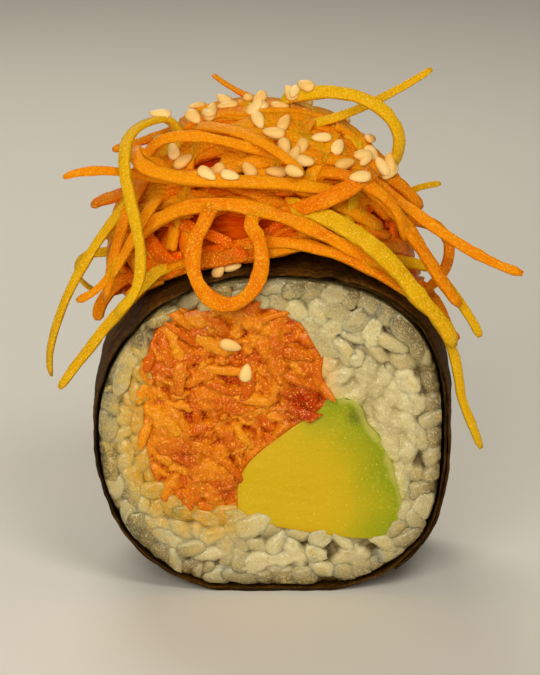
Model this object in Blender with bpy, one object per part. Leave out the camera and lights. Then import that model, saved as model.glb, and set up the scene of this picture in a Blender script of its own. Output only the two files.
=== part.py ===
# Avocado cream cheese roll: one thick slice of a large sushi roll, lying on its wrapper, with a heap
# of julienned carrot and sesame on top. The cut faces look along Y (the shown one is at -Y), X is to
# the right and Z is up. The origin is the middle of the flat strip of wrapper that the roll rests on.
# Sizes below are in millimetres.

import math

import bpy
import numpy as np
from mathutils import Vector
from mathutils.bvhtree import BVHTree

MM = 0.001

# The roll
ROLL_LENGTH = 27.0
RICE_WIDTH = 47.6
RICE_HEIGHT = 44.4
BARREL = 0.5
SQUARENESS = 2.45
SQUARENESS_SWING = 0.35
SQUAREST_ANGLE = math.radians(-20)
FLAT_DEPTH = 0.45
GAP = 0.3

# The seaweed sheet and its overlap, which starts inside at the upper right and ends at the lower right
NORI_THICKNESS = 0.4
OVERLAP_START = math.radians(66)
OVERLAP_END = math.radians(-48)
OVERLAP_RAMP = math.radians(16)
NORI_COLUMNS = 56
NORI_WRINKLE = 0.10

# Rice grains and the strips of the filling, which show on both cut faces
RICE_COLUMNS = 48
GRAIN_LENGTH = 6.0
GRAIN_WIDTH = 3.0
GRAIN_SPACING = 3.05
STRIP_LENGTH = 7.0
STRIP_WIDTH = 2.1
STRIP_SPACING = 3.5
CORE_SETBACK = 1.5

# The carrot heap
HEAP_CENTRE = np.array([-1.0, 0.5, 44.0])
HEAP_RADII = np.array([20.5, 12.5, 22.0])
TUCK = 7.0
FILLER_STRANDS = 22
FILLER_WIDTH = 2.0
VIEW_TILT = math.radians(17)

# The heap's lower front edge, as (across, up) in a view that looks down by LIP_TILT. What lies over the
# wrapper overhangs it in front, and leaves its top in sight.
LIP = [
    (-24.0, 37.0), (-16.0, 41.5), (-10.2, 44.7), (-2.8, 45.6), (5.6, 47.6), (8.4, 47.8), (12.6, 45.4),
    (16.8, 42.3), (19.9, 39.8), (24.0, 36.0),
]
LIP_TILT = math.radians(16)

# Sesame
SEED_LENGTH = 3.2
SEED_WIDTH = 1.9
SEED_DEPTH = 1.0

# The fillings tile the middle of the roll. They meet each other and the rice along six edges, each
# given by the few points (x, z) that it passes, between four corners.
CORNER_TOP = (8.3, 28.0)
CORNER_LEFT = (-4.5, 11.7)
CORNER_RIGHT = (18.5, 12.6)
CORNER_CREAM = (7.3, 34.3)
AVOCADO_TO_FILLING = [(6.6, 26.2), (2.4, 23.3), (-2.7, 19.0), (-4.4, 15.5)]
AVOCADO_TO_CREAM = [(11.6, 27.7), (13.3, 24.4), (15.8, 20.8), (17.3, 16.7)]
AVOCADO_TO_RICE = [(17.6, 10.4), (15.0, 7.7), (6.0, 8.5), (-1.5, 10.0)]
FILLING_TO_RICE = [
    (-9.0, 11.4), (-14.4, 13.8), (-17.4, 21.0), (-17.4, 31.0), (-14.6, 38.8), (-6.0, 41.2), (2.7, 40.5),
]
FILLING_TO_CREAM = [(7.2, 31.0)]
CREAM_TO_RICE = [(14.8, 33.2), (19.0, 29.0), (20.4, 23.0), (19.6, 16.6)]

# Strands that give the heap its outline. Each is one cubic curve: where it leaves the heap, two points
# that pull it, where it ends, and its width. The loop and the curls go back into the heap at their end.
STRANDS = {
    "left_long": ((-14.0, -4.0, 65.5), (-28.0, -14.0, 66.5), (-10.5, -18.0, 48.5), (-21.0, -16.0, 41.0), 1.8),
    "far_left": ((-17.0, -5.0, 56.5), (-24.5, -10.0, 50.5), (-32.0, -9.0, 36.0), (-30.5, -7.0, 29.5), 1.6),
    "left_low": ((-15.5, -11.0, 45.5), (-19.5, -13.0, 42.0), (-24.5, -13.0, 36.0), (-29.0, -13.0, 29.5), 1.8),
    "left_reach": ((-13.5, -7.0, 57.5), (-18.5, -10.0, 59.0), (-24.0, -12.0, 61.0), (-28.0, -12.0, 59.0), 1.5),
    "left_stub": ((-15.0, -1.0, 55.5), (-18.5, 0.0, 54.5), (-21.0, 0.0, 54.0), (-25.0, 1.0, 52.0), 2.2),
    "left_wisp": ((-13.5, 0.0, 63.0), (-16.5, 1.0, 61.5), (-19.0, 2.0, 60.5), (-22.0, 3.0, 59.5), 1.3),
    "left_curl": ((-18.0, 0.0, 44.5), (-27.5, 3.0, 47.0), (-30.0, 5.0, 41.0), (-24.5, 6.0, 38.0), 1.5),
    "left_fall": ((-17.0, -5.0, 57.5), (-20.0, -10.0, 54.0), (-21.0, -12.0, 49.0), (-22.5, -12.0, 42.0), 1.9),
    "left_sweep": ((-15.0, -8.0, 55.5), (-18.5, -12.0, 52.5), (-20.5, -13.0, 44.0), (-26.5, -11.0, 41.5), 1.6),
    "left_foot": ((-6.5, -8.0, 49.5), (-11.5, -8.0, 47.0), (-15.0, -6.0, 43.5), (-18.5, -5.0, 40.0), 2.0),
    "left_tuft": ((-17.0, -3.0, 44.5), (-20.5, -4.0, 42.5), (-24.0, -5.0, 41.0), (-24.0, -5.0, 37.0), 2.0),
    "top_curl": ((2.0, -1.0, 67.5), (14.0, -5.0, 72.5), (22.5, -5.0, 63.0), (15.0, -2.0, 56.5), 1.5),
    "top_reach": ((2.5, -4.0, 64.0), (9.5, -2.0, 64.5), (16.5, 1.0, 67.5), (22.5, 3.0, 71.0), 1.8),
    "top_spike": ((0.0, 2.0, 66.0), (-3.0, 3.0, 67.0), (-5.5, 4.0, 68.0), (-8.0, 5.0, 69.8), 1.1),
    "right_spike": ((16.0, 0.0, 52.0), (19.0, 1.0, 54.0), (21.5, 3.0, 54.5), (24.0, 4.0, 54.4), 1.1),
    "right_long": ((9.0, -5.0, 60.0), (18.0, -7.0, 55.5), (24.5, -9.0, 48.0), (34.7, -10.0, 45.0), 1.9),
    "right_thick": ((10.5, -8.0, 58.5), (18.0, -10.0, 55.5), (21.5, -12.0, 46.5), (26.0, -12.0, 41.0), 2.3),
    "right_under": ((22.0, -8.0, 45.5), (25.0, -10.0, 42.5), (27.5, -10.0, 39.5), (29.0, -10.0, 36.0), 1.7),
    "right_curl": ((20.0, -4.0, 51.0), (26.0, -4.0, 51.0), (26.5, -5.0, 44.5), (21.0, -7.0, 41.5), 1.6),
    "right_drape": ((2.5, -10.0, 54.5), (14.0, -14.0, 53.0), (20.0, -15.0, 44.5), (24.4, -14.0, 35.3), 2.1),
    "right_fall": ((19.5, -9.0, 43.0), (23.0, -12.0, 37.0), (26.5, -12.0, 27.5), (29.3, -12.0, 20.5), 1.6),
    "right_stub": ((19.5, -2.0, 39.5), (22.5, -2.0, 37.0), (24.5, -2.0, 35.0), (26.5, -2.0, 33.3), 1.7),
    "front_foot": ((-12.0, -9.0, 46.5), (-4.5, -12.0, 50.0), (5.0, -13.0, 54.0), (21.0, -13.0, 41.5), 1.8),
    "wide_cross": ((2.5, -10.0, 53.5), (6.5, -12.5, 55.5), (10.5, -12.5, 57.0), (14.0, -9.0, 59.0), 2.6),
    "long_shelf": ((-18.5, -8.0, 62.0), (-18.5, -14.0, 57.0), (0.0, -14.0, 60.5), (9.5, -9.0, 56.0), 1.8),
    "front_arch": ((-20.0, -8.0, 48.0), (-12.0, -14.0, 58.5), (-1.5, -14.0, 58.5), (18.0, -12.0, 44.5), 1.9),
    "upper_arch": ((-17.0, -6.0, 59.0), (-17.0, -10.5, 67.0), (-6.0, -10.5, 64.5), (3.5, -8.0, 60.0), 1.6),
    "cross_down": ((-10.0, -3.5, 64.2), (-4.5, -8.0, 65.4), (0.5, -11.5, 63.4), (4.5, -12.0, 59.6), 1.8),
    "cross_right": ((7.5, -9.0, 59.2), (13.5, -10.5, 58.4), (18.0, -11.0, 55.5), (18.5, -11.0, 50.0), 2.0),
    "right_ridge": ((6.0, -4.0, 62.0), (11.0, -5.5, 61.0), (17.5, -4.0, 57.5), (21.0, -3.0, 52.5), 2.2),
}
RETURNING = ("top_curl", "right_curl", "front_arch", "upper_arch", "long_shelf", "wide_cross")

# The loop that hangs over the front edge: an upright oval, open at the top, that leans out at its foot
LOOP_CENTRE = np.array([-5.8, -13.2, 48.4])
LOOP_RADII = (5.0, 6.3)
LOOP_LEAN = 3.2
LOOP_OPENING = math.radians(50)
LOOP_WIDTH = 2.0

# Sesame seeds that show from the front, as (across, up) in the view that looks down by VIEW_TILT
SEEN_SEEDS = [
    (-15.0, 65.9), (-10.5, 65.8), (-8.1, 66.4), (-6.3, 68.2), (-2.5, 69.4), (-2.0, 66.9), (5.0, 70.0),
    (-13.2, 60.9), (-11.8, 59.5), (-2.8, 58.2), (0.8, 57.9), (3.4, 58.0), (10.2, 59.1), (7.4, 62.9),
    (1.8, 65.0), (-2.0, 65.1), (0.8, 63.2), (4.2, 61.9), (13.5, 60.5), (14.5, 59.2), (6.9, 64.0),
]
SCATTERED_SEEDS = 12
FACE_SEEDS = [(-5.7, 36.0), (-3.6, 32.1)]
NORI_SEEDS = [(-7.8, -9.6, 70), (-6.2, -8.4, 5)]


def unit(v):
    return v / np.linalg.norm(v, axis=-1, keepdims=True)


def superellipse(angles, offset):
    """Distance from the roll's middle to the rice's outline, grown by offset: squarer at the lower right."""
    power = SQUARENESS + SQUARENESS_SWING * np.cos(angles - SQUAREST_ANGLE)
    across = np.abs(np.cos(angles)) / (RICE_WIDTH / 2 + offset)
    up = np.abs(np.sin(angles)) / (RICE_HEIGHT / 2 + FLAT_DEPTH / 2 + offset)
    return (across**power + up**power) ** (-1 / power)


def roll_middle():
    """Height of the roll's middle above the surface that it stands on."""
    return NORI_THICKNESS + GAP + RICE_HEIGHT / 2 - FLAT_DEPTH / 2


def roll_outline(angles, offset, floor, wrinkle=0.0):
    """Points (x, z) round the roll, offset outward from the rice, with the bottom pressed flat."""
    radius = superellipse(angles, offset)
    radius = radius + wrinkle * (np.sin(5 * angles + 0.6) + 0.7 * np.sin(11 * angles + 2.0))
    height = np.maximum(radius * np.sin(angles) + roll_middle(), floor)
    return np.stack([radius * np.cos(angles), height], axis=1)


def round_angles(count):
    return np.arange(count) * 2 * math.pi / count - math.pi / 2


def smooth_edge(start, between, end, steps=3):
    """Catmull-Rom curve from start to end through the points between, without its last point."""
    points = np.array([start, *between, end])
    ends = np.vstack([2 * points[0] - points[1], points, 2 * points[-1] - points[-2]])
    t = np.arange(steps)[:, None] / steps
    spans = []
    for a, b, c, d in zip(ends, ends[1:], ends[2:], ends[3:]):
        bend = 2 * a - 5 * b + 4 * c - d
        twist = 3 * b - a - 3 * c + d
        spans.append(0.5 * (2 * b + (c - a) * t + bend * t**2 + twist * t**3))
    return np.vstack(spans)


def grown(outline, distance):
    """The outline (counterclockwise in x, z) moved outward by distance, mitred at its corners."""
    along = unit(np.roll(outline, -1, axis=0) - outline)
    normals = np.stack([along[:, 1], -along[:, 0]], axis=1)
    before = np.roll(normals, 1, axis=0)
    mitre = unit(normals + before)
    reach = np.clip(1 / np.maximum((mitre * normals).sum(axis=1), 0.3), 1, 2.0)
    return outline + mitre * (distance * reach)[:, None]


def counterclockwise(outline):
    x, z = outline[:, 0], outline[:, 1]
    area = (x * np.roll(z, -1) - np.roll(x, -1) * z).sum()
    return outline if area > 0 else outline[::-1]


def filling_outlines():
    """Outlines of the filling, the avocado and the cream cheese, and of the cavity that holds them."""
    to_left = smooth_edge(CORNER_TOP, AVOCADO_TO_FILLING, CORNER_LEFT)
    to_right = smooth_edge(CORNER_TOP, AVOCADO_TO_CREAM, CORNER_RIGHT)
    underneath = smooth_edge(CORNER_RIGHT, AVOCADO_TO_RICE, CORNER_LEFT)
    round_filling = smooth_edge(CORNER_LEFT, FILLING_TO_RICE, CORNER_CREAM)
    filling_side = smooth_edge(CORNER_CREAM, FILLING_TO_CREAM, CORNER_TOP)
    round_cream = smooth_edge(CORNER_CREAM, CREAM_TO_RICE, CORNER_RIGHT)

    def backwards(edge, end):
        return np.vstack([[end], edge[:0:-1]])

    outlines = {
        "spicy_filling": [round_filling, filling_side, to_left],
        "avocado": [to_left, backwards(underneath, CORNER_LEFT), backwards(to_right, CORNER_RIGHT)],
        "cream_cheese": [round_cream, backwards(to_right, CORNER_RIGHT), backwards(filling_side, CORNER_TOP)],
        "cavity": [round_filling, round_cream, underneath],
    }
    return {name: counterclockwise(np.vstack(edges)) for name, edges in outlines.items()}


def edge_distance(points, outline):
    """How far each point (x, z) is inside the outline; negative outside."""
    a, b = outline, np.roll(outline, -1, axis=0)
    p, ab = points[:, None, :], (b - a)[None]
    share = np.clip(((p - a) * ab).sum(-1) / (ab**2).sum(-1), 0, 1)
    gap = np.linalg.norm(p - (a + share[..., None] * ab), axis=-1).min(axis=1)
    crosses = (a[:, 1] > points[:, 1:2]) != (b[:, 1] > points[:, 1:2])
    rise = np.where(np.abs(b[:, 1] - a[:, 1]) < 1e-12, 1e-12, b[:, 1] - a[:, 1])
    at = a[:, 0] + (points[:, 1:2] - a[:, 1]) * (b[:, 0] - a[:, 0]) / rise
    inside = (crosses & (points[:, 0:1] < at)).sum(axis=1) % 2 == 1
    return np.where(inside, gap, -gap)


def new_object(name, vertices, faces, collection=None):
    mesh = bpy.data.meshes.new(name)
    mesh.from_pydata((np.asarray(vertices) * MM).tolist(), [], [list(f) for f in faces])
    mesh.update()
    made = bpy.data.objects.new(name, mesh)
    (collection or bpy.context.scene.collection).objects.link(made)
    return made


def lofted(name, rings, collection=None, closed=False):
    """A closed body through rings of equal length; capped at both ends, or joined end to start if closed."""
    count, sides = len(rings), len(rings[0])
    vertices = np.vstack(rings)
    faces = []
    for r in range(count if closed else count - 1):
        this, after = r * sides, (r + 1) % count * sides
        for s in range(sides):
            t = (s + 1) % sides
            faces.append((this + s, this + t, after + t, after + s))
    if not closed:
        faces.append(tuple(range(sides - 1, -1, -1)))
        faces.append(tuple((count - 1) * sides + s for s in range(sides)))
    return new_object(name, vertices, faces, collection)


def bar(name, outline, stations, collection=None):
    """A bar along Y: the outline (x, z), grown by each station's amount at that station's y."""
    rings = []
    for y, amount in stations:
        ring = grown(outline, amount)[::-1]
        rings.append(np.stack([ring[:, 0], np.full(len(ring), y), ring[:, 1]], axis=1))
    return lofted(name, rings, collection)


def applied(made):
    """Applies the object's modifiers."""
    graph = bpy.context.evaluated_depsgraph_get()
    old = made.data
    mesh = bpy.data.meshes.new_from_object(made.evaluated_get(graph))
    made.modifiers.clear()
    made.data = mesh
    mesh.name = made.name
    bpy.data.meshes.remove(old)
    return made


def combine(made, operation, pieces, solver="EXACT"):
    """Joins a collection's objects to the object, or cuts them from it, and then removes them."""
    modifier = made.modifiers.new(operation.lower(), "BOOLEAN")
    modifier.operation = operation
    modifier.operand_type = "COLLECTION"
    modifier.collection = pieces
    modifier.solver = solver
    applied(made)
    for piece in list(pieces.objects):
        bpy.data.objects.remove(piece)
    bpy.data.collections.remove(pieces)
    return made


def group(name):
    made = bpy.data.collections.new(name)
    bpy.context.scene.collection.children.link(made)
    return made


def largest_body(made):
    """Keeps the largest connected body: loose scraps go, and hollows that fusing has sealed are filled."""
    mesh = made.data
    parent = list(range(len(mesh.vertices)))

    def root(i):
        while parent[i] != i:
            parent[i] = parent[parent[i]]
            i = parent[i]
        return i

    for edge in mesh.edges:
        a, b = (root(i) for i in edge.vertices)
        parent[a] = b
    roots = np.array([root(i) for i in range(len(mesh.vertices))])
    bodies = np.unique(roots)
    if len(bodies) > 1:
        points = np.array([v.co for v in mesh.vertices])
        sizes = [np.ptp(points[roots == b], axis=0).sum() for b in bodies]
        keep = roots == bodies[int(np.argmax(sizes))]
        index = np.cumsum(keep) - 1
        faces = [[int(index[i]) for i in f.vertices] for f in mesh.polygons if keep[f.vertices[0]]]
        kept = bpy.data.meshes.new(made.name)
        kept.from_pydata(points[keep].tolist(), [], faces)
        made.data = kept
        bpy.data.meshes.remove(mesh)
    return made


def finish(made, colour, roughness):
    """Gives the object its material and keeps its faces flat."""
    material = bpy.data.materials.new(made.name)
    material.use_nodes = True
    shader = material.node_tree.nodes["Principled BSDF"]
    shader.inputs["Base Color"].default_value = (*colour, 1)
    shader.inputs["Roughness"].default_value = roughness
    shader.inputs["Metallic"].default_value = 0.0
    made.data.materials.clear()
    made.data.materials.append(material)
    return made


def turned(direction, tilt_reference=(0.0, 1.0, 0.0)):
    """Three axes as rows: along the direction, then two across it."""
    along = unit(np.array(direction, float))
    side = np.cross(along, tilt_reference)
    if np.linalg.norm(side) < 1e-6:
        side = np.cross(along, (0.0, 0.0, 1.0))
    side = unit(side)
    return np.array([along, side, np.cross(along, side)])


def ovoid(name, centre, axes, radii, collection, sides=5, rings=(-0.62, 0.0, 0.62), point=0.0):
    """A grain or seed: rings of a stretched ball, narrower to one end where point is set."""
    vertices = [(-1.0, 0.0, 0.0)]
    for r in rings:
        width = math.sqrt(1 - r * r) * (1 - point * r)
        for s in range(sides):
            a = 2 * math.pi * s / sides
            vertices.append((r, width * math.cos(a), width * math.sin(a)))
    vertices.append((1.0, 0.0, 0.0))
    last = len(vertices) - 1
    faces = []
    for s in range(sides):
        t = (s + 1) % sides
        faces.append((0, 1 + t, 1 + s))
        faces.append((last, last - sides + s, last - sides + t))
        for r in range(len(rings) - 1):
            row = 1 + r * sides
            faces.append((row + s, row + t, row + sides + t, row + sides + s))
    points = np.array(vertices) * np.array(radii) @ np.array(axes) + np.array(centre)
    return new_object(name, points, faces, collection)


def seed(name, centre, along, normal, collection, scale=1.0):
    """A flat teardrop sesame seed lying across the normal."""
    axes = turned(along, normal)
    radii = np.array([SEED_LENGTH, SEED_WIDTH, SEED_DEPTH]) / 2 * scale
    return ovoid(name, centre, axes, radii, collection, sides=5, rings=(-0.45, 0.5), point=0.3)


def cubic(points, count):
    """Points along the cubic curve that the four points pull."""
    a, b, c, d = (np.array(p, float) for p in points)
    t = np.linspace(0, 1, count)[:, None]
    return a * (1 - t) ** 3 + 3 * b * t * (1 - t) ** 2 + 3 * c * t**2 * (1 - t) + d * t**3


def clear_of_roll(path, half):
    """Moves a path outward until a strand of that half thickness lies on the wrapper or outside it."""
    path = path.copy()
    dx, dz = path[:, 0], path[:, 2] - roll_middle()
    angles = np.arctan2(dz, dx)
    need = superellipse(angles, GAP + 2 * NORI_THICKNESS + GAP + half + BARREL)
    have = np.hypot(dx, dz)
    beside = np.abs(path[:, 1]) < ROLL_LENGTH / 2 + half + 2 * GAP
    push = np.where(beside & (have < need), need / np.maximum(have, 1e-9), 1.0)
    path[:, 0] = dx * push
    path[:, 2] = dz * push + roll_middle()
    return path


def over_lip(path, half):
    """Raises a path where it would hide the wrapper's top from the front. What lies far back stays."""
    lip = np.array(LIP)
    rise, run = math.cos(LIP_TILT), math.sin(LIP_TILT)
    up = (path[:, 1] + ROLL_LENGTH / 2) * run + path[:, 2] * rise
    need = np.interp(path[:, 0], lip[:, 0], lip[:, 1]) + half
    front = np.clip((3.0 - path[:, 1]) / 5.0, 0, 1)
    path = path.copy()
    path[:, 2] += np.clip(need - up, 0, None) / rise * front
    return path


def strand(name, path, width, collection, tip=0.75, thickness=0.82):
    """A julienned strip: a square section carried along the path, narrowing a little to its tip."""
    steps = np.gradient(path, axis=0)
    along = unit(steps)
    out = path - HEAP_CENTRE
    side = unit(np.cross(along, out))
    top = np.cross(side, along)
    share = np.linspace(0, 1, len(path))
    half = (width / 2 * (1 - (1 - tip) * share**2))[:, None]
    corners = [half * side + half * thickness * top, half * side - half * thickness * top]
    rings = [[p + a[i], p + b[i], p - a[i], p - b[i]] for i, p in enumerate(path) for a, b in [corners]]
    return lofted(name, rings, collection)


def tucked(path, centre):
    """Carries the path's first end TUCK further, towards the heap's middle."""
    inward = unit(centre - path[0])
    return np.vstack([path[0] + inward * TUCK, path])


def strand_path(name):
    *points, width = STRANDS[name]
    length = np.linalg.norm(np.diff(cubic(points, 20), axis=0), axis=1).sum()
    path = clear_of_roll(cubic(points, max(5, round(length / 4.8))), width / 2)
    middle = HEAP_CENTRE + np.array([0.0, 0.0, 4.0])
    path = tucked(path, middle)
    if name in RETURNING:
        path = tucked(path[::-1], middle)[::-1]
    return path, width


def loop_path():
    turn = np.linspace(math.pi / 2 + LOOP_OPENING / 2, math.pi * 5 / 2 - LOOP_OPENING / 2, 12)
    lean = -LOOP_LEAN * (1 - np.sin(turn)) / 2
    path = np.stack([LOOP_RADII[0] * np.cos(turn), lean, LOOP_RADII[1] * np.sin(turn)], axis=1)
    path = LOOP_CENTRE + path
    return np.vstack([path[0] + (-0.5, TUCK, 0.5), path, path[-1] + (0.5, TUCK, 0.5)])


def filler_path(random):
    """An arc over the heap's dome, mostly across the roll, with its ends laid over the roll's shoulders."""
    place = np.array([random.uniform(-0.55, 0.55), random.uniform(-0.75, 1.0), random.uniform(0.35, 1.0)])
    middle = unit(place)
    heading = random.normal(0, 0.45)
    tangent = np.array([math.cos(heading), math.sin(heading), 0.0])
    tangent = unit(tangent - middle * (tangent @ middle))
    reach = random.uniform(0.65, 1.15)
    t = np.linspace(-reach, reach, 7)[:, None]
    sway = np.cross(middle, tangent) * random.normal(0, 0.16)
    layer = random.uniform(0.985, 1.045)
    arc = unit(middle * np.cos(t) + tangent * np.sin(t) + sway * np.cos(2 * t))
    path = clear_of_roll(HEAP_CENTRE + HEAP_RADII * layer * arc, FILLER_WIDTH / 2)
    return over_lip(path, FILLER_WIDTH / 2)


def heap_core():
    """The heap's solid middle: a low dome whose underside is cut to the wrapper."""
    rows, columns = 7, 20
    latitudes = np.linspace(-0.38, math.pi / 2, rows + 1)
    rings = []
    for i, latitude in enumerate(latitudes[:-1]):
        turn = np.arange(columns) * 2 * math.pi / columns
        lump = 1 + 0.035 * np.sin(3 * turn + i) + 0.025 * np.cos(5 * turn - 2 * i)
        ring = np.stack([np.cos(turn) * math.cos(latitude) * lump, np.sin(turn) * math.cos(latitude) * lump,
                         np.full(columns, math.sin(latitude))], axis=1)
        rings.append(over_lip(HEAP_CENTRE + HEAP_RADII * ring, 0.5))
    top = HEAP_CENTRE + HEAP_RADII * np.array([0, 0, 1.0])
    rings.append(top + (rings[-1] - rings[-1].mean(axis=0)) * 0.2)
    return lofted("carrot_heap", rings)


def roll_cutter(collection):
    """The roll grown by the gap, which trims what lies on the wrapper."""
    outline = roll_outline(round_angles(NORI_COLUMNS), 2 * GAP + 2 * NORI_THICKNESS + BARREL, 0.0)
    half = ROLL_LENGTH / 2 + 2 * GAP
    return bar("roll_cutter", counterclockwise(outline), [(-half, 0.0), (half, 0.0)], collection)


def surface_of(made):
    graph = bpy.context.evaluated_depsgraph_get()
    return BVHTree.FromObject(made, graph)


def make_heap():
    random = np.random.RandomState(11)
    heap = heap_core()
    strips = group("strips")
    for name in STRANDS:
        path, width = strand_path(name)
        strand(name, path, width, strips)
    strand("front_loop", loop_path(), LOOP_WIDTH, strips, tip=1.0)
    for i in range(FILLER_STRANDS):
        strand(f"filler_{i}", filler_path(random), FILLER_WIDTH * random.uniform(0.8, 1.15), strips)
    combine(heap, "UNION", strips, "MANIFOLD")
    cutters = group("cutters")
    roll_cutter(cutters)
    combine(heap, "DIFFERENCE", cutters, "MANIFOLD")
    largest_body(heap)

    surface = surface_of(heap)
    seeds = group("seeds")
    look = np.array([0.0, math.cos(VIEW_TILT), -math.sin(VIEW_TILT)])
    up = np.array([0.0, math.sin(VIEW_TILT), math.cos(VIEW_TILT)])
    shots = [(np.array([x, -ROLL_LENGTH / 2, 0.0]) + up * z - look * 60, look) for x, z in SEEN_SEEDS]
    for _ in range(SCATTERED_SEEDS):
        place = np.array([random.uniform(-0.7, 0.7), random.uniform(-0.2, 0.9), 2.0])
        shots.append((HEAP_CENTRE + HEAP_RADII * place, np.array([0.0, 0.0, -1.0])))
    for i, (start, way) in enumerate(shots):
        hit, normal, _, _ = surface.ray_cast(Vector(start * MM), Vector(way))
        if hit is None:
            continue
        normal = np.array(normal)
        along = np.cross(normal, unit(random.normal(size=3)))
        seed(f"seed_{i}", np.array(hit) / MM + normal * 0.2, along, normal, seeds, random.uniform(0.9, 1.08))
    combine(heap, "UNION", seeds, "MANIFOLD")
    return finish(largest_body(heap), (0.87, 0.33, 0.03), 0.5)


def make_nori():
    """The seaweed: a thin tube, two sheets thick where it overlaps itself, with two seeds lying on it."""
    angles = round_angles(NORI_COLUMNS)
    turn = np.mod(OVERLAP_START - angles, 2 * math.pi)
    span = OVERLAP_START - OVERLAP_END
    double = np.clip(turn / OVERLAP_RAMP, 0, 1) * (turn <= span)
    inner, outer = [], []
    for y in np.linspace(-ROLL_LENGTH / 2, ROLL_LENGTH / 2, 3):
        swell = BARREL * (1 - (2 * y / ROLL_LENGTH) ** 2)
        layers = NORI_THICKNESS * (1 + double)
        inside = roll_outline(angles, GAP + swell, NORI_THICKNESS, NORI_WRINKLE * 0.3)
        outside = roll_outline(angles, GAP + layers + swell, 0.0, NORI_WRINKLE)
        for ring, rows in ((inside, inner), (outside, outer)):
            rows.append(np.stack([ring[:, 0], np.full(len(ring), y), ring[:, 1]], axis=1)[::-1])
    nori = lofted("nori_wrap", outer + inner[::-1], closed=True)
    surface = surface_of(nori)
    seeds = group("seeds")
    for i, (x, y, heading) in enumerate(NORI_SEEDS):
        hit, normal, _, _ = surface.ray_cast(Vector((x * MM, y * MM, 0.1)), Vector((0, 0, -1)))
        along = (math.cos(math.radians(heading)), math.sin(math.radians(heading)), 0.0)
        seed(f"seed_{i}", np.array(hit) / MM + np.array(normal) * 0.3, along, np.array(normal), seeds)
    combine(nori, "UNION", seeds)
    return finish(nori, (0.05, 0.03, 0.01), 0.55)


def face_pieces(outlines, holes, spacing, length, width, random):
    """Places for grains or strips on a cut face, as (x, z, heading, length): inside the outline, clear
    of the holes and spaced out. A piece that would cross an edge is turned or shortened, or skipped."""
    low, high = outlines.min(axis=0), outlines.max(axis=0)
    placed = []
    for spot in random.uniform(low, high, size=(3000, 2)):
        if placed and np.hypot(*(np.array(placed)[:, :2] - spot).T).min() < spacing:
            continue
        first = random.uniform(0, math.pi)
        for own in (length * random.uniform(0.8, 1.1), length * 0.7, width * 1.15):
            headings = first + np.arange(6) * math.pi / 6
            reach = max(own - width, 0.0) / 2
            ends = np.stack([np.cos(headings), np.sin(headings)], axis=1) * reach
            room = np.minimum(edge_distance(spot + ends, outlines), edge_distance(spot - ends, outlines))
            for hole in holes:
                into = np.maximum(edge_distance(spot + ends, hole), edge_distance(spot - ends, hole))
                room = np.minimum(room, -into)
            fits = np.flatnonzero(room > width / 2 * 0.96)
            if len(fits):
                placed.append((spot[0], spot[1], headings[fits[0]], own))
                break
    return placed


def cut_faces():
    """The two cut faces, as the sign of their side along Y."""
    return (-1, 1)


def make_rice(outlines):
    """Rice fills the roll round the fillings; single grains stand out of both cut faces."""
    random = np.random.RandomState(5)
    floor = NORI_THICKNESS + GAP
    edge = roll_outline(round_angles(RICE_COLUMNS), 0.0, floor)
    half = ROLL_LENGTH / 2 - CORE_SETBACK
    rings = []
    for y, swell in ((-half, 0.0), (0.0, BARREL), (half, 0.0)):
        ring = roll_outline(round_angles(RICE_COLUMNS), swell, floor)[::-1]
        rings.append(np.stack([ring[:, 0], np.full(len(ring), y), ring[:, 1]], axis=1))
    rice = lofted("rice", rings)
    cutters = group("cutters")
    hole = grown(outlines["cavity"], GAP / 2)
    bar("cavity", hole, [(-ROLL_LENGTH, 0.0), (ROLL_LENGTH, 0.0)], cutters)
    combine(rice, "DIFFERENCE", cutters)
    grains = group("grains")
    for side in cut_faces():
        for i, (x, z, heading, own) in enumerate(
            face_pieces(edge, [hole], GRAIN_SPACING, GRAIN_LENGTH, GRAIN_WIDTH, random)
        ):
            tilt = random.uniform(-0.25, 0.25)
            along = (math.cos(heading), tilt, math.sin(heading))
            centre = (x, side * (ROLL_LENGTH / 2 - 1.25 + random.uniform(-0.25, 0.2)), z)
            radii = (own / 2, GRAIN_WIDTH / 2, GRAIN_WIDTH / 2 * 0.92)
            ovoid(f"grain_{side}_{i}", centre, turned(along), radii, grains, rings=(-0.55, 0.55))
    combine(rice, "UNION", grains, "MANIFOLD")
    return finish(largest_body(rice), (0.78, 0.69, 0.45), 0.4)


def make_filling(outline):
    """The spicy filling: a bar of chopped strips, with single strips at both cut faces, and two seeds."""
    random = np.random.RandomState(8)
    edge = grown(outline, -GAP / 2)
    half = ROLL_LENGTH / 2 - CORE_SETBACK
    filling = bar("spicy_filling", edge, [(-half, 0.0), (half, 0.0)])
    strips = group("strips")
    for side in cut_faces():
        for i, (x, z, heading, own) in enumerate(
            face_pieces(edge, [], STRIP_SPACING, STRIP_LENGTH, STRIP_WIDTH, random)
        ):
            along = (math.cos(heading), random.uniform(-0.3, 0.3), math.sin(heading))
            centre = (x, side * (ROLL_LENGTH / 2 - 0.9 + random.uniform(-0.35, 0.25)), z)
            radii = (own / 2, STRIP_WIDTH / 2, STRIP_WIDTH / 2 * 0.8)
            ovoid(f"strip_{side}_{i}", centre, turned(along), radii, strips, sides=4, rings=(-0.75, 0.75))
    for i, (x, z) in enumerate(FACE_SEEDS):
        seed(f"seed_{i}", (x, -ROLL_LENGTH / 2 - 0.1, z), (0.3 + i, 0.1, 1.0 - 0.9 * i), (0, -1, 0), strips)
    combine(filling, "UNION", strips, "MANIFOLD")
    return finish(largest_body(filling), (0.82, 0.22, 0.02), 0.35)


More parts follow.
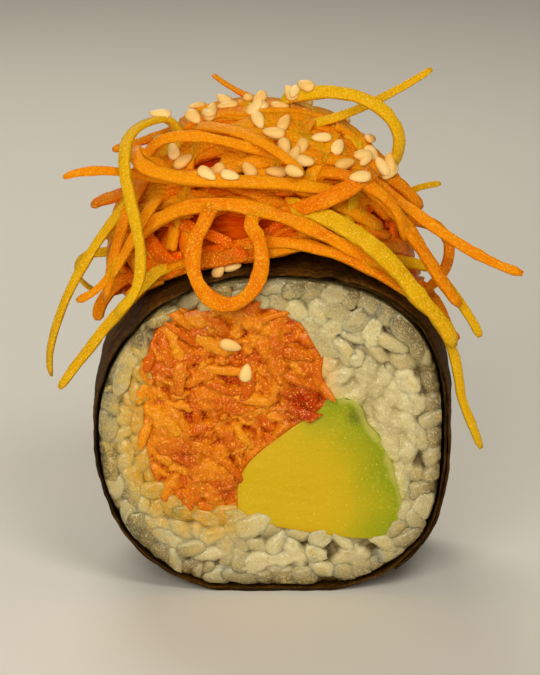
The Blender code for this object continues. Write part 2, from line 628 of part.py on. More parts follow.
def make_avocado(outline):
    """One wedge of avocado, with its cut ends slightly rounded over."""
    half = ROLL_LENGTH / 2 - 0.1
    stations = [(-half, -0.7), (-half + 0.7, 0.0)]
    stations += [(-y, amount) for y, amount in reversed(stations)]
    return finish(bar("avocado", grown(outline, -GAP / 2), stations), (0.62, 0.50, 0.02), 0.35)


def make_cream_cheese(outline):
    """A soft band of cream cheese between the avocado and the rice, a little proud of the cut."""
    half = ROLL_LENGTH / 2 + 0.1
    stations = [(-half, -0.8), (-half + 0.9, 0.0)]
    stations += [(-y, amount) for y, amount in reversed(stations)]
    return finish(bar("cream_cheese", grown(outline, -GAP / 2), stations), (0.80, 0.72, 0.50), 0.45)


def main():
    for old in list(bpy.data.objects):
        bpy.data.objects.remove(old)
    outlines = filling_outlines()
    make_nori()
    make_rice(outlines)
    make_filling(outlines["spicy_filling"])
    make_avocado(outlines["avocado"])
    make_cream_cheese(outlines["cream_cheese"])
    make_heap()


main()
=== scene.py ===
# Avocado cream cheese roll: one thick slice standing on its wrapper under a heap of shredded carrot.
# Everything is worked out in millimetres, in the frame of the solids, and put into the meshes in metres.

import math

import bpy
import numpy as np
from mathutils import Matrix, Vector
from mathutils.bvhtree import BVHTree


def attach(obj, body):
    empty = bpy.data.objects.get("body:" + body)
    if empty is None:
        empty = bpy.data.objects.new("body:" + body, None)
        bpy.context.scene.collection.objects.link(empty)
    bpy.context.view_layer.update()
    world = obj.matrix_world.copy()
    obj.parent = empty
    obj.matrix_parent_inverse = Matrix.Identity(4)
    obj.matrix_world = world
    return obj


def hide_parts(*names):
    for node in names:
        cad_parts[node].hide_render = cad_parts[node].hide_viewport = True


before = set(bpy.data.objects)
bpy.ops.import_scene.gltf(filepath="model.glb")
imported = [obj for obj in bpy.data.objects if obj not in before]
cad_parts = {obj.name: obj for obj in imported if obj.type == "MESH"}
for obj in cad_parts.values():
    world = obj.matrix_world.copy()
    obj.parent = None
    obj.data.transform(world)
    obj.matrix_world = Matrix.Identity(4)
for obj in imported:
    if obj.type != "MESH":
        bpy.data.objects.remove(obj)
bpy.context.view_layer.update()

mm = 0.001
print("frame loaded, nodes:", ", ".join(sorted(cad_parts)))


# Plain maths

def unit(v):
    # v divided by its own length
    return v / np.maximum(np.linalg.norm(v, axis=-1, keepdims=True), 1e-12)


def waves(points, size, seed, octaves=3):
    # smooth unevenness of about -1 to 1: in each octave four sines along random directions, half as long and
    # half as high as in the one before
    random = np.random.RandomState(seed)
    total = np.zeros(points.shape[:-1])
    for k in range(octaves):
        for _ in range(4):
            direction = unit(random.normal(size=points.shape[-1]))
            turns = points @ direction * 2 * math.pi * 2**k / size
            total += np.sin(turns + random.uniform(0, 6.3)) * 0.5**k / 2.4
    return total


def smoothEdge(start, between, end, steps=12):
    # Catmull-Rom curve from start to end through the points between, without its last point
    points = np.array([start, *between, end], float)
    ends = np.vstack([2 * points[0] - points[1], points, 2 * points[-1] - points[-2]])
    t = np.arange(steps)[:, None] / steps
    spans = []
    for a, b, c, d in zip(ends, ends[1:], ends[2:], ends[3:]):
        bend = 2 * a - 5 * b + 4 * c - d
        twist = 3 * b - a - 3 * c + d
        spans.append(0.5 * (2 * b + (c - a) * t + bend * t**2 + twist * t**3))
    return np.vstack(spans)


def evenly(line, count, closed=False):
    # the line resampled at equal steps of its own length
    path = np.vstack([line, line[:1]]) if closed else line
    run = np.concatenate([[0], np.cumsum(np.linalg.norm(np.diff(path, axis=0), axis=1))])
    at = np.linspace(0, run[-1], count, endpoint=not closed)
    return np.stack([np.interp(at, run, path[:, k]) for k in range(path.shape[1])], axis=1)


def counterclockwise(outline):
    x, z = outline[:, 0], outline[:, 1]
    return outline if (x * np.roll(z, -1) - np.roll(x, -1) * z).sum() > 0 else outline[::-1]


def seen(points):
    # the places (x, z) of points, as a cut face shows them
    return points[..., [0, 2]].reshape(-1, 2)


def awayFrom(places, line):
    # how far each place is from the nearest point of a line
    return np.linalg.norm(places[:, None] - line[None], axis=2).min(axis=1)


def roomInside(points, outline):
    # how far each point (x, z) is inside the outline, negative outside
    a, b = outline, np.roll(outline, -1, axis=0)
    p, ab = points[:, None, :], (b - a)[None]
    share = np.clip(((p - a) * ab).sum(-1) / np.maximum((ab**2).sum(-1), 1e-12), 0, 1)
    gap = np.linalg.norm(p - (a + share[..., None] * ab), axis=-1).min(axis=1)
    crosses = (a[:, 1] > points[:, 1:2]) != (b[:, 1] > points[:, 1:2])
    rise = np.where(np.abs(b[:, 1] - a[:, 1]) < 1e-12, 1e-12, b[:, 1] - a[:, 1])
    at = a[:, 0] + (points[:, 1:2] - a[:, 1]) * (b[:, 0] - a[:, 0]) / rise
    inside = (crosses & (points[:, 0:1] < at)).sum(axis=1) % 2 == 1
    return np.where(inside, gap, -gap)


def inwards(points, room):
    # the direction in which room grows fastest, from small steps
    step = 0.05
    dx = room(points + [step, 0]) - room(points - [step, 0])
    dz = room(points + [0, step]) - room(points - [0, step])
    return unit(np.stack([dx, dz], axis=1))


def heldInside(points, room, margin):
    # points (x, y, z) moved sideways until each is `margin` inside the edges that `room` measures
    flat = seen(points)
    short = np.clip(margin - room(flat), 0, None)
    moved = flat + inwards(flat, room) * short[:, None]
    points[..., 0] = moved[:, 0].reshape(points.shape[:-1])
    points[..., 2] = moved[:, 1].reshape(points.shape[:-1])
    return points


def cutFlat(reach, level, give):
    # a height that a knife has levelled: what passes `level` is eased to within `give` of it
    return np.minimum(reach, level) + give * np.tanh(np.clip(reach - level, 0, None) / give)


def spreadOut(room, outline, headings, spacing, stretch, clearance, random):
    # evenly spread places (x, z) for long things, one for each heading: random places that push each other
    # apart, farther along each thing than across it, and are kept clear of the edges
    low, high = outline.min(axis=0), outline.max(axis=0)
    count = len(headings)
    places = random.uniform(low, high, size=(count * 10, 2))
    places = places[room(places) > clearance * 0.5][:count]
    along = np.stack([np.cos(headings), np.sin(headings)], axis=1)[:len(places)]
    for _ in range(60):
        apart = places[:, None] - places[None]
        distance = np.linalg.norm(apart, axis=2) + np.eye(len(places)) * 99
        ends = (apart * along[:, None]).sum(axis=-1) ** 2
        felt = np.sqrt(np.clip(distance**2 - ends * (1 - 1 / stretch**2), 0, None))
        felt = (felt + felt.T) / 2
        push = np.clip(spacing - felt, 0, None) / spacing
        places = places + (apart / distance[..., None] * push[..., None]).sum(axis=1) * 0.5
        short = np.clip(clearance - room(places), 0, None)
        places = places + inwards(places, room) * short[:, None]
    return places


# Meshes

def addPiece(name, points, faces, **attributes):
    # a smooth mesh object at the origin, from points in millimetres; an attribute has one value for each
    # point, or a vector
    mesh = bpy.data.meshes.new(name)
    mesh.from_pydata((np.asarray(points).reshape(-1, 3) * mm).tolist(), [], faces)
    mesh.polygons.foreach_set("use_smooth", np.ones(len(mesh.polygons), bool))
    for key, values in attributes.items():
        values = np.asarray(values, float).ravel()
        single = len(values) == len(mesh.vertices)
        kind, field = ("FLOAT", "value") if single else ("FLOAT_VECTOR", "vector")
        mesh.attributes.new(key, kind, "POINT").data.foreach_set(field, values)
    mesh.update()
    piece = bpy.data.objects.new(name, mesh)
    bpy.context.scene.collection.objects.link(piece)
    return piece


def tubeFaces(points):
    # faces of a closed tube, or of several, given as rings of points, with one face on each end
    rows, columns = points.shape[-3:-1]
    r, c = np.meshgrid(np.arange(rows - 1), np.arange(columns), indexing="ij")
    d = (c + 1) % columns
    quads = np.stack([r * columns + c, r * columns + d, (r + 1) * columns + d, (r + 1) * columns + c], -1)
    starts = np.arange(0, points.size // 3, rows * columns)[:, None, None]
    quads = (quads.reshape(1, -1, 4) + starts).reshape(-1, 4)
    first = starts[:, 0] + np.arange(columns)[::-1]
    last = starts[:, 0] + (rows - 1) * columns + np.arange(columns)
    return quads.tolist() + first.tolist() + last.tolist()


def ringFaces(points):
    # faces of a grid of points that closes on itself both ways
    rows, columns = points.shape[:2]
    r, c = np.meshgrid(np.arange(rows), np.arange(columns), indexing="ij")
    s, d = (r + 1) % rows, (c + 1) % columns
    quads = np.stack([r * columns + c, r * columns + d, s * columns + d, s * columns + c], -1)
    return quads.reshape(-1, 4).tolist()


def ovoids(centres, axes, radii, sides, rings, point, bend, uneven, ripple, blunt, seed):
    # grains or seeds: rings of a stretched ball |x|^blunt + |r|^blunt = 1, with x from -1 to 1 along its
    # length, narrower to one end by `point`, bowed by `bend` and dented by `uneven` every `ripple` mm
    x = np.repeat(rings, sides)
    turn = np.tile(np.arange(sides) * 2 * math.pi / sides, len(rings))
    wide = (1 - np.abs(x) ** blunt) ** (1 / blunt) * (1 - point * x)
    ball = np.stack([x, wide * np.cos(turn), wide * np.sin(turn)], axis=1)
    ball = np.vstack([[-1.0, 0, 0], ball, [1.0, 0, 0]])
    count, size = len(centres), len(ball)
    random = np.random.RandomState(seed)
    local = ball[None] * radii[:, None]
    bow = bend * random.uniform(-1, 1, (count, 1)) * radii[:, None, 2]
    local[..., 2] += bow * (1 - ball[None, :, 0] ** 2)
    dent = 1 + uneven * waves(local + random.uniform(0, 90, (count, 1, 3)), ripple, seed, 2)
    local[..., 1:] *= dent[..., None]
    points = local @ axes + centres[:, None]
    s = np.arange(sides)
    t = (s + 1) % sides
    tips = np.vstack([np.stack([0 * s, 1 + t, 1 + s], 1),
                      np.stack([0 * s + size - 1, size - 1 - sides + s, size - 1 - sides + t], 1)])
    r = 1 + np.arange(len(rings) - 1)[:, None] * sides
    quads = np.stack([r + s, r + t, r + sides + t, r + sides + s], -1).reshape(-1, 4)
    starts = np.arange(count)[:, None, None] * size
    faces = (quads + starts).reshape(-1, 4).tolist() + (tips + starts).reshape(-1, 3).tolist()
    return points, faces


def framed(along, reference):
    # three axes as rows for each direction: along it, across it and the reference, and the third
    along = unit(along)
    side = unit(np.cross(along, reference))
    return np.stack([along, side, np.cross(along, side)], axis=1)


# Shader maths

class Value:
    # a socket that takes + - * / like a number does, adding one Math node each time
    def __init__(self, tree, socket):
        self.tree, self.socket = tree, socket

    def maths(self, operation, a, b=0.0, clamp=False):
        node = self.tree.nodes.new("ShaderNodeMath")
        node.operation, node.use_clamp = operation, clamp
        for socket, value in zip(node.inputs, (a, b)):
            plug(self.tree, socket, value)
        return Value(self.tree, node.outputs[0])

    def __add__(self, other):
        return self.maths("ADD", self, other)

    def __sub__(self, other):
        return self.maths("SUBTRACT", self, other)

    def __mul__(self, other):
        return self.maths("MULTIPLY", self, other)

    def __rsub__(self, other):
        return self.maths("SUBTRACT", other, self)

    __radd__ = __add__
    __rmul__ = __mul__

    def step(self, low, high):
        # 0 below low, 1 above high and even between them
        return self.maths("MULTIPLY", self - low, 1 / (high - low), clamp=True)


def plug(tree, socket, value):
    if isinstance(value, Value):
        tree.links.new(value.socket, socket)
    elif isinstance(value, tuple) and len(value) == 3 and socket.type == "RGBA":
        socket.default_value = (*value, 1)
    else:
        socket.default_value = value


def colour(red, green, blue):
    # a colour as a screen gives it, from 0 to 255, in the light's own scale
    shares = [c / 255 for c in (red, green, blue)]
    return tuple(c / 12.92 if c <= 0.04 else ((c + 0.055) / 1.055) ** 2.4 for c in shares)


class Finish:
    # one material: its shader, a colour built up in layers, and a single method that adds any other node.
    # `scatter` is how much light goes under the surface, how many millimetres deep, and how much of that
    # depth red, green and blue reach
    def __init__(self, name, base, scatter=None, **constants):
        self.material = bpy.data.materials.new(name)
        self.material.use_nodes = True
        self.tree = self.material.node_tree
        self.shader = self.tree.nodes["Principled BSDF"]
        self.place = self.node("ShaderNodeTexCoord", output="Object")
        self.base = base
        if scatter:
            share, depth, reach = scatter
            self.set(Subsurface_Weight=share, Subsurface_Scale=depth * mm, Subsurface_Radius=reach)
        self.set(Base_Color=base, **constants)

    def set(self, **values):
        for key, value in values.items():
            plug(self.tree, self.shader.inputs[key.replace("_", " ")], value)
        return self

    def node(self, kind, settings=None, sockets=None, output=0):
        node = self.tree.nodes.new(kind)
        for key, value in (settings or {}).items():
            setattr(node, key, value)
        for key, value in (sockets or {}).items():
            plug(self.tree, node.inputs[key], value)
        return Value(self.tree, node.outputs[output])

    def attribute(self, name, output="Fac"):
        return self.node("ShaderNodeAttribute", {"attribute_name": name}, output=output)

    def noise(self, size, detail=3.0, rough=0.55, stretch=(1, 1, 1)):
        # noise of about 0 to 1, with lumps of `size` millimetres, drawn out along axes by `stretch`
        scale = tuple(1 / (size * mm * s) for s in stretch)
        return self.noiseOn(self.node("ShaderNodeMapping", None, {"Vector": self.place, "Scale": scale}), 1.0,
                            detail, rough)

    def noiseOn(self, place, scale, detail, rough):
        sockets = {"Vector": place, "Scale": scale, "Detail": detail, "Roughness": rough}
        return self.node("ShaderNodeTexNoise", None, sockets, "Fac")

    def mix(self, mask, a, b):
        # colour a where the mask is 0 and colour b where it is 1
        return self.node("ShaderNodeMix", {"data_type": "RGBA"}, {0: mask, 6: a, 7: b}, 2)

    def lay(self, mask, shade):
        # another colour over the ones before it, where the mask says
        self.base = self.mix(mask, self.base, shade)

    def speckle(self, size, amount, shade, share=0.6):
        # small dots of another shade: painted wet highlights where the shade is lighter, the food's own grain
        # where it is darker
        self.lay(self.noise(size, 2.0, 0.7).step(share, share + 0.1) * amount, shade)

    def done(self, height, depth, **values):
        # the layers of colour, a bump of `depth` millimetres for a height of 1, and what else varies
        sockets = {"Height": height, "Distance": depth * mm, "Strength": 1.0}
        return self.set(Base_Color=self.base, Normal=self.node("ShaderNodeBump", None, sockets), **values)


def dress(piece, finish, slot, *nodes):
    # gives a piece its material and its place in the part
    piece.data.materials.clear()
    piece.data.materials.append(finish.material)
    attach(piece, "root")
    if nodes:
        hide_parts(*nodes)
    return piece


# The roll's outline, shared by the wrapper, the rice and what lies on them

roll = {
    "length": 27.0,
    "riceWidth": 47.6,
    "riceHeight": 44.4,
    "barrel": 0.5,
    "squareness": 2.45,
    "squarenessSwing": 0.35,
    "squarestAngle": math.radians(-20),
    "flatDepth": 0.45,
    "gap": 0.3,
    "sheet": 0.4,
}
rollMiddle = roll["sheet"] + roll["gap"] + roll["riceHeight"] / 2 - roll["flatDepth"] / 2
face = roll["length"] / 2


def rollRadius(angles, offset):
    # superellipse: (|cos a| / half width)^n + (|sin a| / half height)^n = r^-n, squarer at the lower right
    power = roll["squareness"] + roll["squarenessSwing"] * np.cos(angles - roll["squarestAngle"])
    across = np.abs(np.cos(angles)) / (roll["riceWidth"] / 2 + offset)
    up = np.abs(np.sin(angles)) / (roll["riceHeight"] / 2 + roll["flatDepth"] / 2 + offset)
    return (across**power + up**power) ** (-1 / power)


def rollOutline(angles, offset, floor):
    radius = rollRadius(angles, offset)
    height = np.maximum(radius * np.sin(angles) + rollMiddle, floor)
    return np.stack([radius * np.cos(angles), height], axis=-1)


fillings = {
    "top": (8.3, 28.0),
    "left": (-4.5, 11.7),
    "right": (18.5, 12.6),
    "cream": (7.3, 34.3),
    "avocadoToFilling": [(6.6, 26.2), (2.4, 23.3), (-2.7, 19.0), (-4.4, 15.5)],
    "avocadoToCream": [(11.6, 27.7), (13.3, 24.4), (15.8, 20.8), (17.3, 16.7)],
    "avocadoToRice": [(17.6, 10.4), (15.0, 7.7), (6.0, 8.5), (-1.5, 10.0)],
    "fillingToRice": [(-9.0, 11.4), (-14.4, 13.8), (-17.4, 21.0), (-17.4, 31.0), (-14.6, 38.8), (-6.0, 41.2),
                      (2.7, 40.5)],
    "fillingToCream": [(7.2, 31.0)],
    "creamToRice": [(14.8, 33.2), (19.0, 29.0), (20.4, 23.0), (19.6, 16.6)],
}
toLeft = smoothEdge(fillings["top"], fillings["avocadoToFilling"], fillings["left"])
toRight = smoothEdge(fillings["top"], fillings["avocadoToCream"], fillings["right"])
underneath = smoothEdge(fillings["right"], fillings["avocadoToRice"], fillings["left"])
roundFilling = smoothEdge(fillings["left"], fillings["fillingToRice"], fillings["cream"])
fillingSide = smoothEdge(fillings["cream"], fillings["fillingToCream"], fillings["top"])
roundCream = smoothEdge(fillings["cream"], fillings["creamToRice"], fillings["right"])
leftBack = np.vstack([[fillings["left"]], underneath[:0:-1]])
rightBack = np.vstack([[fillings["right"]], toRight[:0:-1]])
fillingOutline = counterclockwise(np.vstack([roundFilling, fillingSide, toLeft]))
avocadoOutline = counterclockwise(np.vstack([toLeft, leftBack, rightBack]))
cavityOutline = counterclockwise(np.vstack([roundFilling, roundCream, underneath]))
riceOutline = rollOutline(np.arange(120) * math.pi / 60 - math.pi / 2, 0.0, roll["sheet"] + roll["gap"])


def slab(outline, half, rounding, crown, columns, rings):
    # a filled outline carried along Y: rings run out from the middle of one cut face, over its rounded edge
    # and in to the middle of the other; the faces swell by crown * (1 - share^2)
    edge = evenly(outline, columns, closed=True)
    centre = edge.mean(axis=0)
    arm = edge - centre
    reach = np.linalg.norm(arm, axis=1)[:, None]
    rows = []
    for share in np.linspace(0.02, 0.95, rings):
        rows.append((share, rounding, -half - crown * (1 - share**2)))
    for turn in np.linspace(0, math.pi / 2, 6):
        rows.append((1.0, rounding * (1 - math.sin(turn)), -half + rounding * (1 - math.cos(turn))))
    rows += [(share, drawn, -y) for share, drawn, y in reversed(rows)]
    lines = []
    for share, drawn, y in rows:
        ring = centre + arm * share * (1 - drawn / reach)
        lines.append(np.stack([ring[:, 0], np.full(columns, y), ring[:, 1]], axis=1)[::-1])
    return np.array(lines)


def fused(places, centres, headings, radii, side, soften, wander):
    # how far out a bed of pressed grains reaches at each place (x, z) of a cut face: a grain of radii a, b, c
    # is c sqrt(1 - q) high, with q = (u/a)^2 + (v/b)^2, and falls away past its edge. Heights are joined by
    # soften * log(sum of exp(height / soften)), and `wander` bends the outlines. The other results are each
    # grain's share in each place, a line that is 1 where two grains meet, and q in the place's own grain
    flat = headings[:, [0, 2]]
    tall = np.linalg.norm(flat, axis=1)
    flat = flat / tall[:, None]
    bent = places + wander * np.stack([waves(places, 2.6, 71, 3), waves(places, 2.6, 72, 3)], axis=1)
    apart = bent[:, None] - centres[None][..., [0, 2]]
    u = (apart * flat).sum(axis=-1) / (radii[:, 0] * tall + radii[:, 1] * (1 - tall))
    v = (apart[..., 0] * flat[:, 1] - apart[..., 1] * flat[:, 0]) / radii[:, 1]
    q = u * u + v * v
    dome = radii[:, 2] * np.sqrt(np.clip(1 - q, 0, 1))
    height = side * centres[:, 1] + np.where(q < 1, dome, 1.2 - 1.2 * np.sqrt(q))
    top = height.max(axis=1, keepdims=True)
    share = np.exp((height - top) / soften)
    total = share.sum(axis=1, keepdims=True)
    meeting = np.clip(2 - 2 / np.exp((height - top) / 0.08).sum(axis=1), 0, 1)
    meeting = meeting * np.clip(0.62 + 0.9 * waves(places, 7.0, 79, 2), 0.12, 1)
    share = share / total
    return (top + soften * np.log(total))[:, 0], share, meeting, (share * np.clip(q, 0, 1)).sum(axis=1)


# Seaweed

nori = {
    "rings": 420,               # round the roll
    "columns": 40,              # along the roll, on each side of the sheet
    "overlapStart": math.radians(66),   # the inner end, at the upper right
    "overlapEnd": math.radians(-48),    # the outer, free end, at the lower right
    "ramp": math.radians(18),           # how gently the sheet climbs over its own inner end
    "fullness": 0.92,           # how much of its room the sheet fills, so that its layers don't touch
    "thinEdge": 0.3,
    "crinkle": 0.13,
    "edgeWander": 0.3,
    "edgeInset": 0.1,
    "dark": colour(44, 31, 9),
    "brown": colour(104, 64, 14),
    "green": colour(112, 88, 36),
    "cut": colour(28, 20, 6),
}


def noriPoints():
    # a flat profile (along Y on the sheet's outside and back on its inside) carried clockwise along a spiral:
    # radius = outline + gap + sheet * (climb(t) + 1/2), where climb goes from 0 to 1 just before a full turn
    whole = 2 * math.pi + nori["overlapStart"] - nori["overlapEnd"]
    t = np.linspace(0, whole, nori["rings"])
    turn = (nori["overlapStart"] - t)[:, None]
    climb = np.clip((t - 2 * math.pi + nori["ramp"]) / nori["ramp"], 0, 1)
    climb = (climb * climb * (3 - 2 * climb))[:, None]
    columns = nori["columns"]
    along = np.concatenate([np.linspace(-face, face, columns), np.linspace(face, -face, columns)])[None]
    half = roll["sheet"] / 2 * nori["fullness"]
    out = np.repeat([half, -half], columns)
    out[[0, columns - 1, columns, 2 * columns - 1]] *= nori["thinEdge"]
    swell = roll["barrel"] * (1 - (along / face) ** 2)
    # the crinkles are those of the flat sheet's own place, so that its two layers differ
    place = np.stack(np.broadcast_arrays(30 * np.cos(turn), along, 30 * np.sin(turn)), axis=-1)
    place = place + climb[..., None] * 7.3
    rough = nori["crinkle"] * waves(place * [1, 0.45, 1], 7.0, 3, 4)
    middle = roll["gap"] + roll["sheet"] * (climb + 0.5) + swell + rough
    radius = rollRadius(turn + 0 * along, middle + out)
    floorLevel = np.where(out > 0, 0.0, roll["sheet"] * nori["fullness"])
    z = np.maximum(radius * np.sin(turn) + rollMiddle, floorLevel)
    wander = nori["edgeWander"] * waves(place[:, :1], 9.0, 8, 3) * (np.abs(along) / face) ** 6
    y = along - np.sign(along) * (wander / 2 + nori["edgeInset"])
    return np.stack([radius * np.cos(turn), y, z], axis=-1)[:, ::-1]


def noriFinish():
    look = Finish("seaweed", nori["dark"], Specular_IOR_Level=0.05)
    fibres = look.noise(0.8, 4.0, 0.72)
    patches = look.noise(4.0, 4.0, 0.65)
    pores = look.noise(0.5, 2.0, 0.6)
    wrinkles = look.noise(0.8, 3.0, 0.6, (7.0, 1.0, 7.0))
    look.lay((patches * 0.6 + fibres * 0.9).step(0.54, 0.9), nori["brown"])
    look.lay(fibres.step(0.55, 0.66) * 0.6, nori["green"])
    look.lay((pores * 0.6 + wrinkles * 0.5).step(0.55, 0.64) * 0.8, nori["dark"])
    look.lay(look.attribute("edge").step(0.975, 0.995) * 0.9, nori["cut"])
    return look.done(fibres + wrinkles * 0.8, 0.36, Roughness=0.5 + 0.3 * patches)


sheetPoints = noriPoints()
toEdge = np.abs(sheetPoints[..., 1]) / face
noriSheet = addPiece("noriSheet", sheetPoints, tubeFaces(sheetPoints), edge=toEdge)
dress(noriSheet, noriFinish(), "nori", "nori_wrap")
print("seaweed done")


# Rice

rice = {
    "count": 132,               # grains in each layer of each cut face
    "spacing": 2.55,
    "stretch": 1.65,            # how much farther apart they lie end to end than side by side
    "clearance": 1.3,
    "steep": 0.12,              # share of grains that show an end
    "rough": 0.28,              # how unevenly deep they lie
    "length": (4.2, 6.8),
    "width": (2.3, 3.5),
    "flatness": (0.9, 1.05),
    "layers": (1.45, 2.5),      # how deep the middles of the grains lie behind the cut
    "soften": 0.08,             # how far the pressed grains run into each other
    "wander": 0.17,             # how far their outlines stray from an oval
    "groove": 0.18,             # how deep the line between two pressed grains is
    "cut": 0.3,                 # how far below the face the knife has levelled most of them
    "dimple": 0.05,
    "angles": 520,              # points round the bed and across each of its faces
    "across": 56,
    "loose": 0.3,               # share of grains that stand out whole
    "looseSize": (0.82, 1.04),
    "looseOut": (0.15, 0.4),    # how far they stand out
    "looseSink": 0.35,          # how much lower the bed lies under them
    "sliced": (0.12, 0.5),      # how far below the face the knife has levelled each of those
    "slicedDimple": 0.06,
    "give": 0.2,
    "shape": {"sides": 12, "rings": np.array([-0.92, -0.66, -0.2, 0.3, 0.7, 0.93]), "point": 0.0,
              "bend": 0.2, "uneven": 0.2, "ripple": 2.4, "blunt": 3.0, "seed": 5},
    # pale grains, and the painted rim light at grain edges
    "pale": colour(214, 202, 154),
    "clear": colour(178, 162, 110),
    # painted shade near the wrapper
    "shadeByWrapper": colour(100, 82, 40),
    # painted shade in the lines where grains meet
    "between": colour(132, 106, 54),
    # painted wet highlights
    "wet": colour(246, 236, 198),
    "tinge": colour(204, 172, 82),
    "stain": colour(206, 152, 30),
    # painted shade in the gaps between grains
    "pitShade": colour(88, 64, 16),
}
ringCentre = np.array([1.5, 23.5])


def wrapperRoom(places):
    return roomInside(places, riceOutline)


def riceRoom(places):
    # how far a place is from the wrapper, the filling and the avocado; the cream cheese counts as rice,
    # because its lumpy top carries on from the grains beside it
    strips, wedge = roomInside(places, fillingOutline), roomInside(places, avocadoOutline)
    return np.minimum(wrapperRoom(places), 0.8 - np.maximum(strips, wedge))


def stainAt(places):
    # orange juice from the filling, exp(-(distance / 3.1)^2): more at the left and below, faint at the right
    away = np.clip(-roomInside(places, fillingOutline), 0, None)
    side = np.clip((-places[:, 0] - 1.0) / 7.0, 0.3, 1.0)
    low = np.clip((37.0 - places[:, 1]) / 6.0, 0.1, 1.0)
    return side * low * np.exp(-(away / 3.1) ** 2)


def wrapperShade(places):
    # painted shade, exp(-(distance / fade)^1.5) from the dark wrapper showing through, farther at the left
    # where less light falls
    fade = 2.6 + 1.8 * np.clip((-places[:, 0] - 10.0) / 8.0, 0, 1)
    return np.exp(-(np.clip(wrapperRoom(places), 0, None) / fade) ** 1.5)


def pitAt(points, depth=1.2):
    # 0 on the highest grains of a cut face and 1 in the gaps, `depth` below them
    return np.clip((face - 0.4 - np.abs(points[..., 1])) / depth, 0, 1)


def riceMarks(points):
    # marks for painted shade: how deep each point lies in the gaps, and how near it is to the wrapper
    return {"pit": pitAt(points), "wrapper": wrapperShade(seen(points))}


def pressed(room, outline, look, random, side, depth):
    # centres, headings and radii of grains or strips on evenly spread places of one cut face; one that lies
    # near an edge turns along it, and the others lie any way or, where `look` has a lean, mostly that way
    headings = random.uniform(0, math.pi, look["count"])
    if "lean" in look:
        leaning = random.uniform(size=look["count"]) < 0.7
        headings = np.where(leaning, look["lean"] + random.normal(0, 0.55, look["count"]), headings)
    places = spreadOut(room, outline, headings, look["spacing"], look["stretch"], look["clearance"], random)
    count = len(places)
    flat = np.stack([np.cos(headings), np.sin(headings)], axis=1)[:count]
    edge = inwards(places, room)
    near = np.clip(1 - (room(places) - look["clearance"]) / 1.2, 0, 1) * random.uniform(0.3, 0.95, count)
    flat = flat - edge * ((flat * edge).sum(axis=1) * near)[:, None]
    tilt = random.normal(0, 0.28, count) + (random.uniform(size=count) < look["steep"]) * 1.0
    flat = unit(flat) * np.cos(tilt)[:, None]
    level = side * (face - depth + random.normal(0, look["rough"], count))
    length, width = random.uniform(*look["length"], count), random.uniform(*look["width"], count)
    radii = np.stack([length, width, width * random.uniform(*look["flatness"], count)], axis=1) / 2
    centres = np.stack([places[:, 0], level, places[:, 1]], axis=1)
    return centres, np.stack([flat[:, 0], np.sin(tilt), flat[:, 1]], axis=1), radii


def pressedFront(room, outline, look, random, side):
    # the same for all the layers of one cut face together, and how many lie in the first
    layers = [pressed(room, outline, look, random, side, depth) for depth in look["layers"]]
    return [np.vstack(each) for each in zip(*layers)], len(layers[0][0])


def looseOnes(look, centres, headings, radii, random, room, margin):
    # whole grains or strips that lie on the bed, levelled by the knife and kept within their room: points,
    # faces, and how near each point is to the edge of its own one, as seen from the cut face
    points, faces = ovoids(centres, framed(headings, np.array([0.0, 1.0, 0.02])), radii, **look["shape"])
    high = (np.abs(points[..., 1]) - np.abs(centres[:, None, 1])) / radii[:, None, 2]
    level = face - random.uniform(*look["sliced"], (len(points), 1))
    level = level + look["slicedDimple"] * waves(points, 1.6, 83, 2)
    points[..., 1] = np.sign(points[..., 1]) * cutFlat(np.abs(points[..., 1]), level, look["give"])
    return heldInside(points, room, margin), faces, 1 - np.clip(high, 0, 1) ** 2


def riceFronts():
    # the grains of both cut faces: centres, headings, radii, a tone for each and how much juice it takes up
    random = np.random.RandomState(21)
    fronts = {}
    for side in (-1, 1):
        front, _ = pressedFront(riceRoom, riceOutline, rice, random, side)
        count = len(front[0])
        fronts[side] = (*front, random.uniform(0, 1, count), random.uniform(0.6, 1.5, count))
    return fronts


def looseGrains(fronts):
    # grains that stand out whole from the front layers, more of them by the wrapper and none on the fillings
    random = np.random.RandomState(22)
    loose = []
    for side, (centres, headings, radii, tones, stains) in fronts.items():
        places = centres[:, [0, 2]]
        front = np.abs(centres[:, 1]) > face - rice["layers"][0] - 0.8
        share = np.where(wrapperRoom(places) < 3.0, rice["loose"] * 2, rice["loose"])
        share = share * (roomInside(places, cavityOutline) < 0.4)
        chosen = np.flatnonzero(front & (random.uniform(size=len(places)) < share))
        out = np.array([0.0, side, 0.0]) * random.uniform(*rice["looseOut"], (len(chosen), 1))
        sizes = random.uniform(*rice["looseSize"], (len(chosen), 1))
        loose.append((centres[chosen] + out, headings[chosen], radii[chosen] * sizes, tones[chosen],
                      stains[chosen]))
        centres[chosen, 1] -= side * rice["looseSink"]
    *grains, tones, stains = (np.concatenate(each) for each in zip(*loose))
    points, faces, brim = looseOnes(rice, *grains, random, wrapperRoom, 0.1)
    each = points.shape[1]
    return addPiece("riceGrains", points, faces, tone=np.repeat(tones, each), brim=brim,
                    stain=np.repeat(stains, each) * stainAt(seen(points)), **riceMarks(points))


def reachOf(outline, angles):
    # how far an outline is from the middle of the rice's ring at each angle
    arm = evenly(outline, 1200, closed=True) - ringCentre
    turn = np.arctan2(arm[:, 1], arm[:, 0])
    order = np.argsort(turn)
    return np.interp(angles, turn[order], np.linalg.norm(arm, axis=1)[order], period=2 * math.pi)


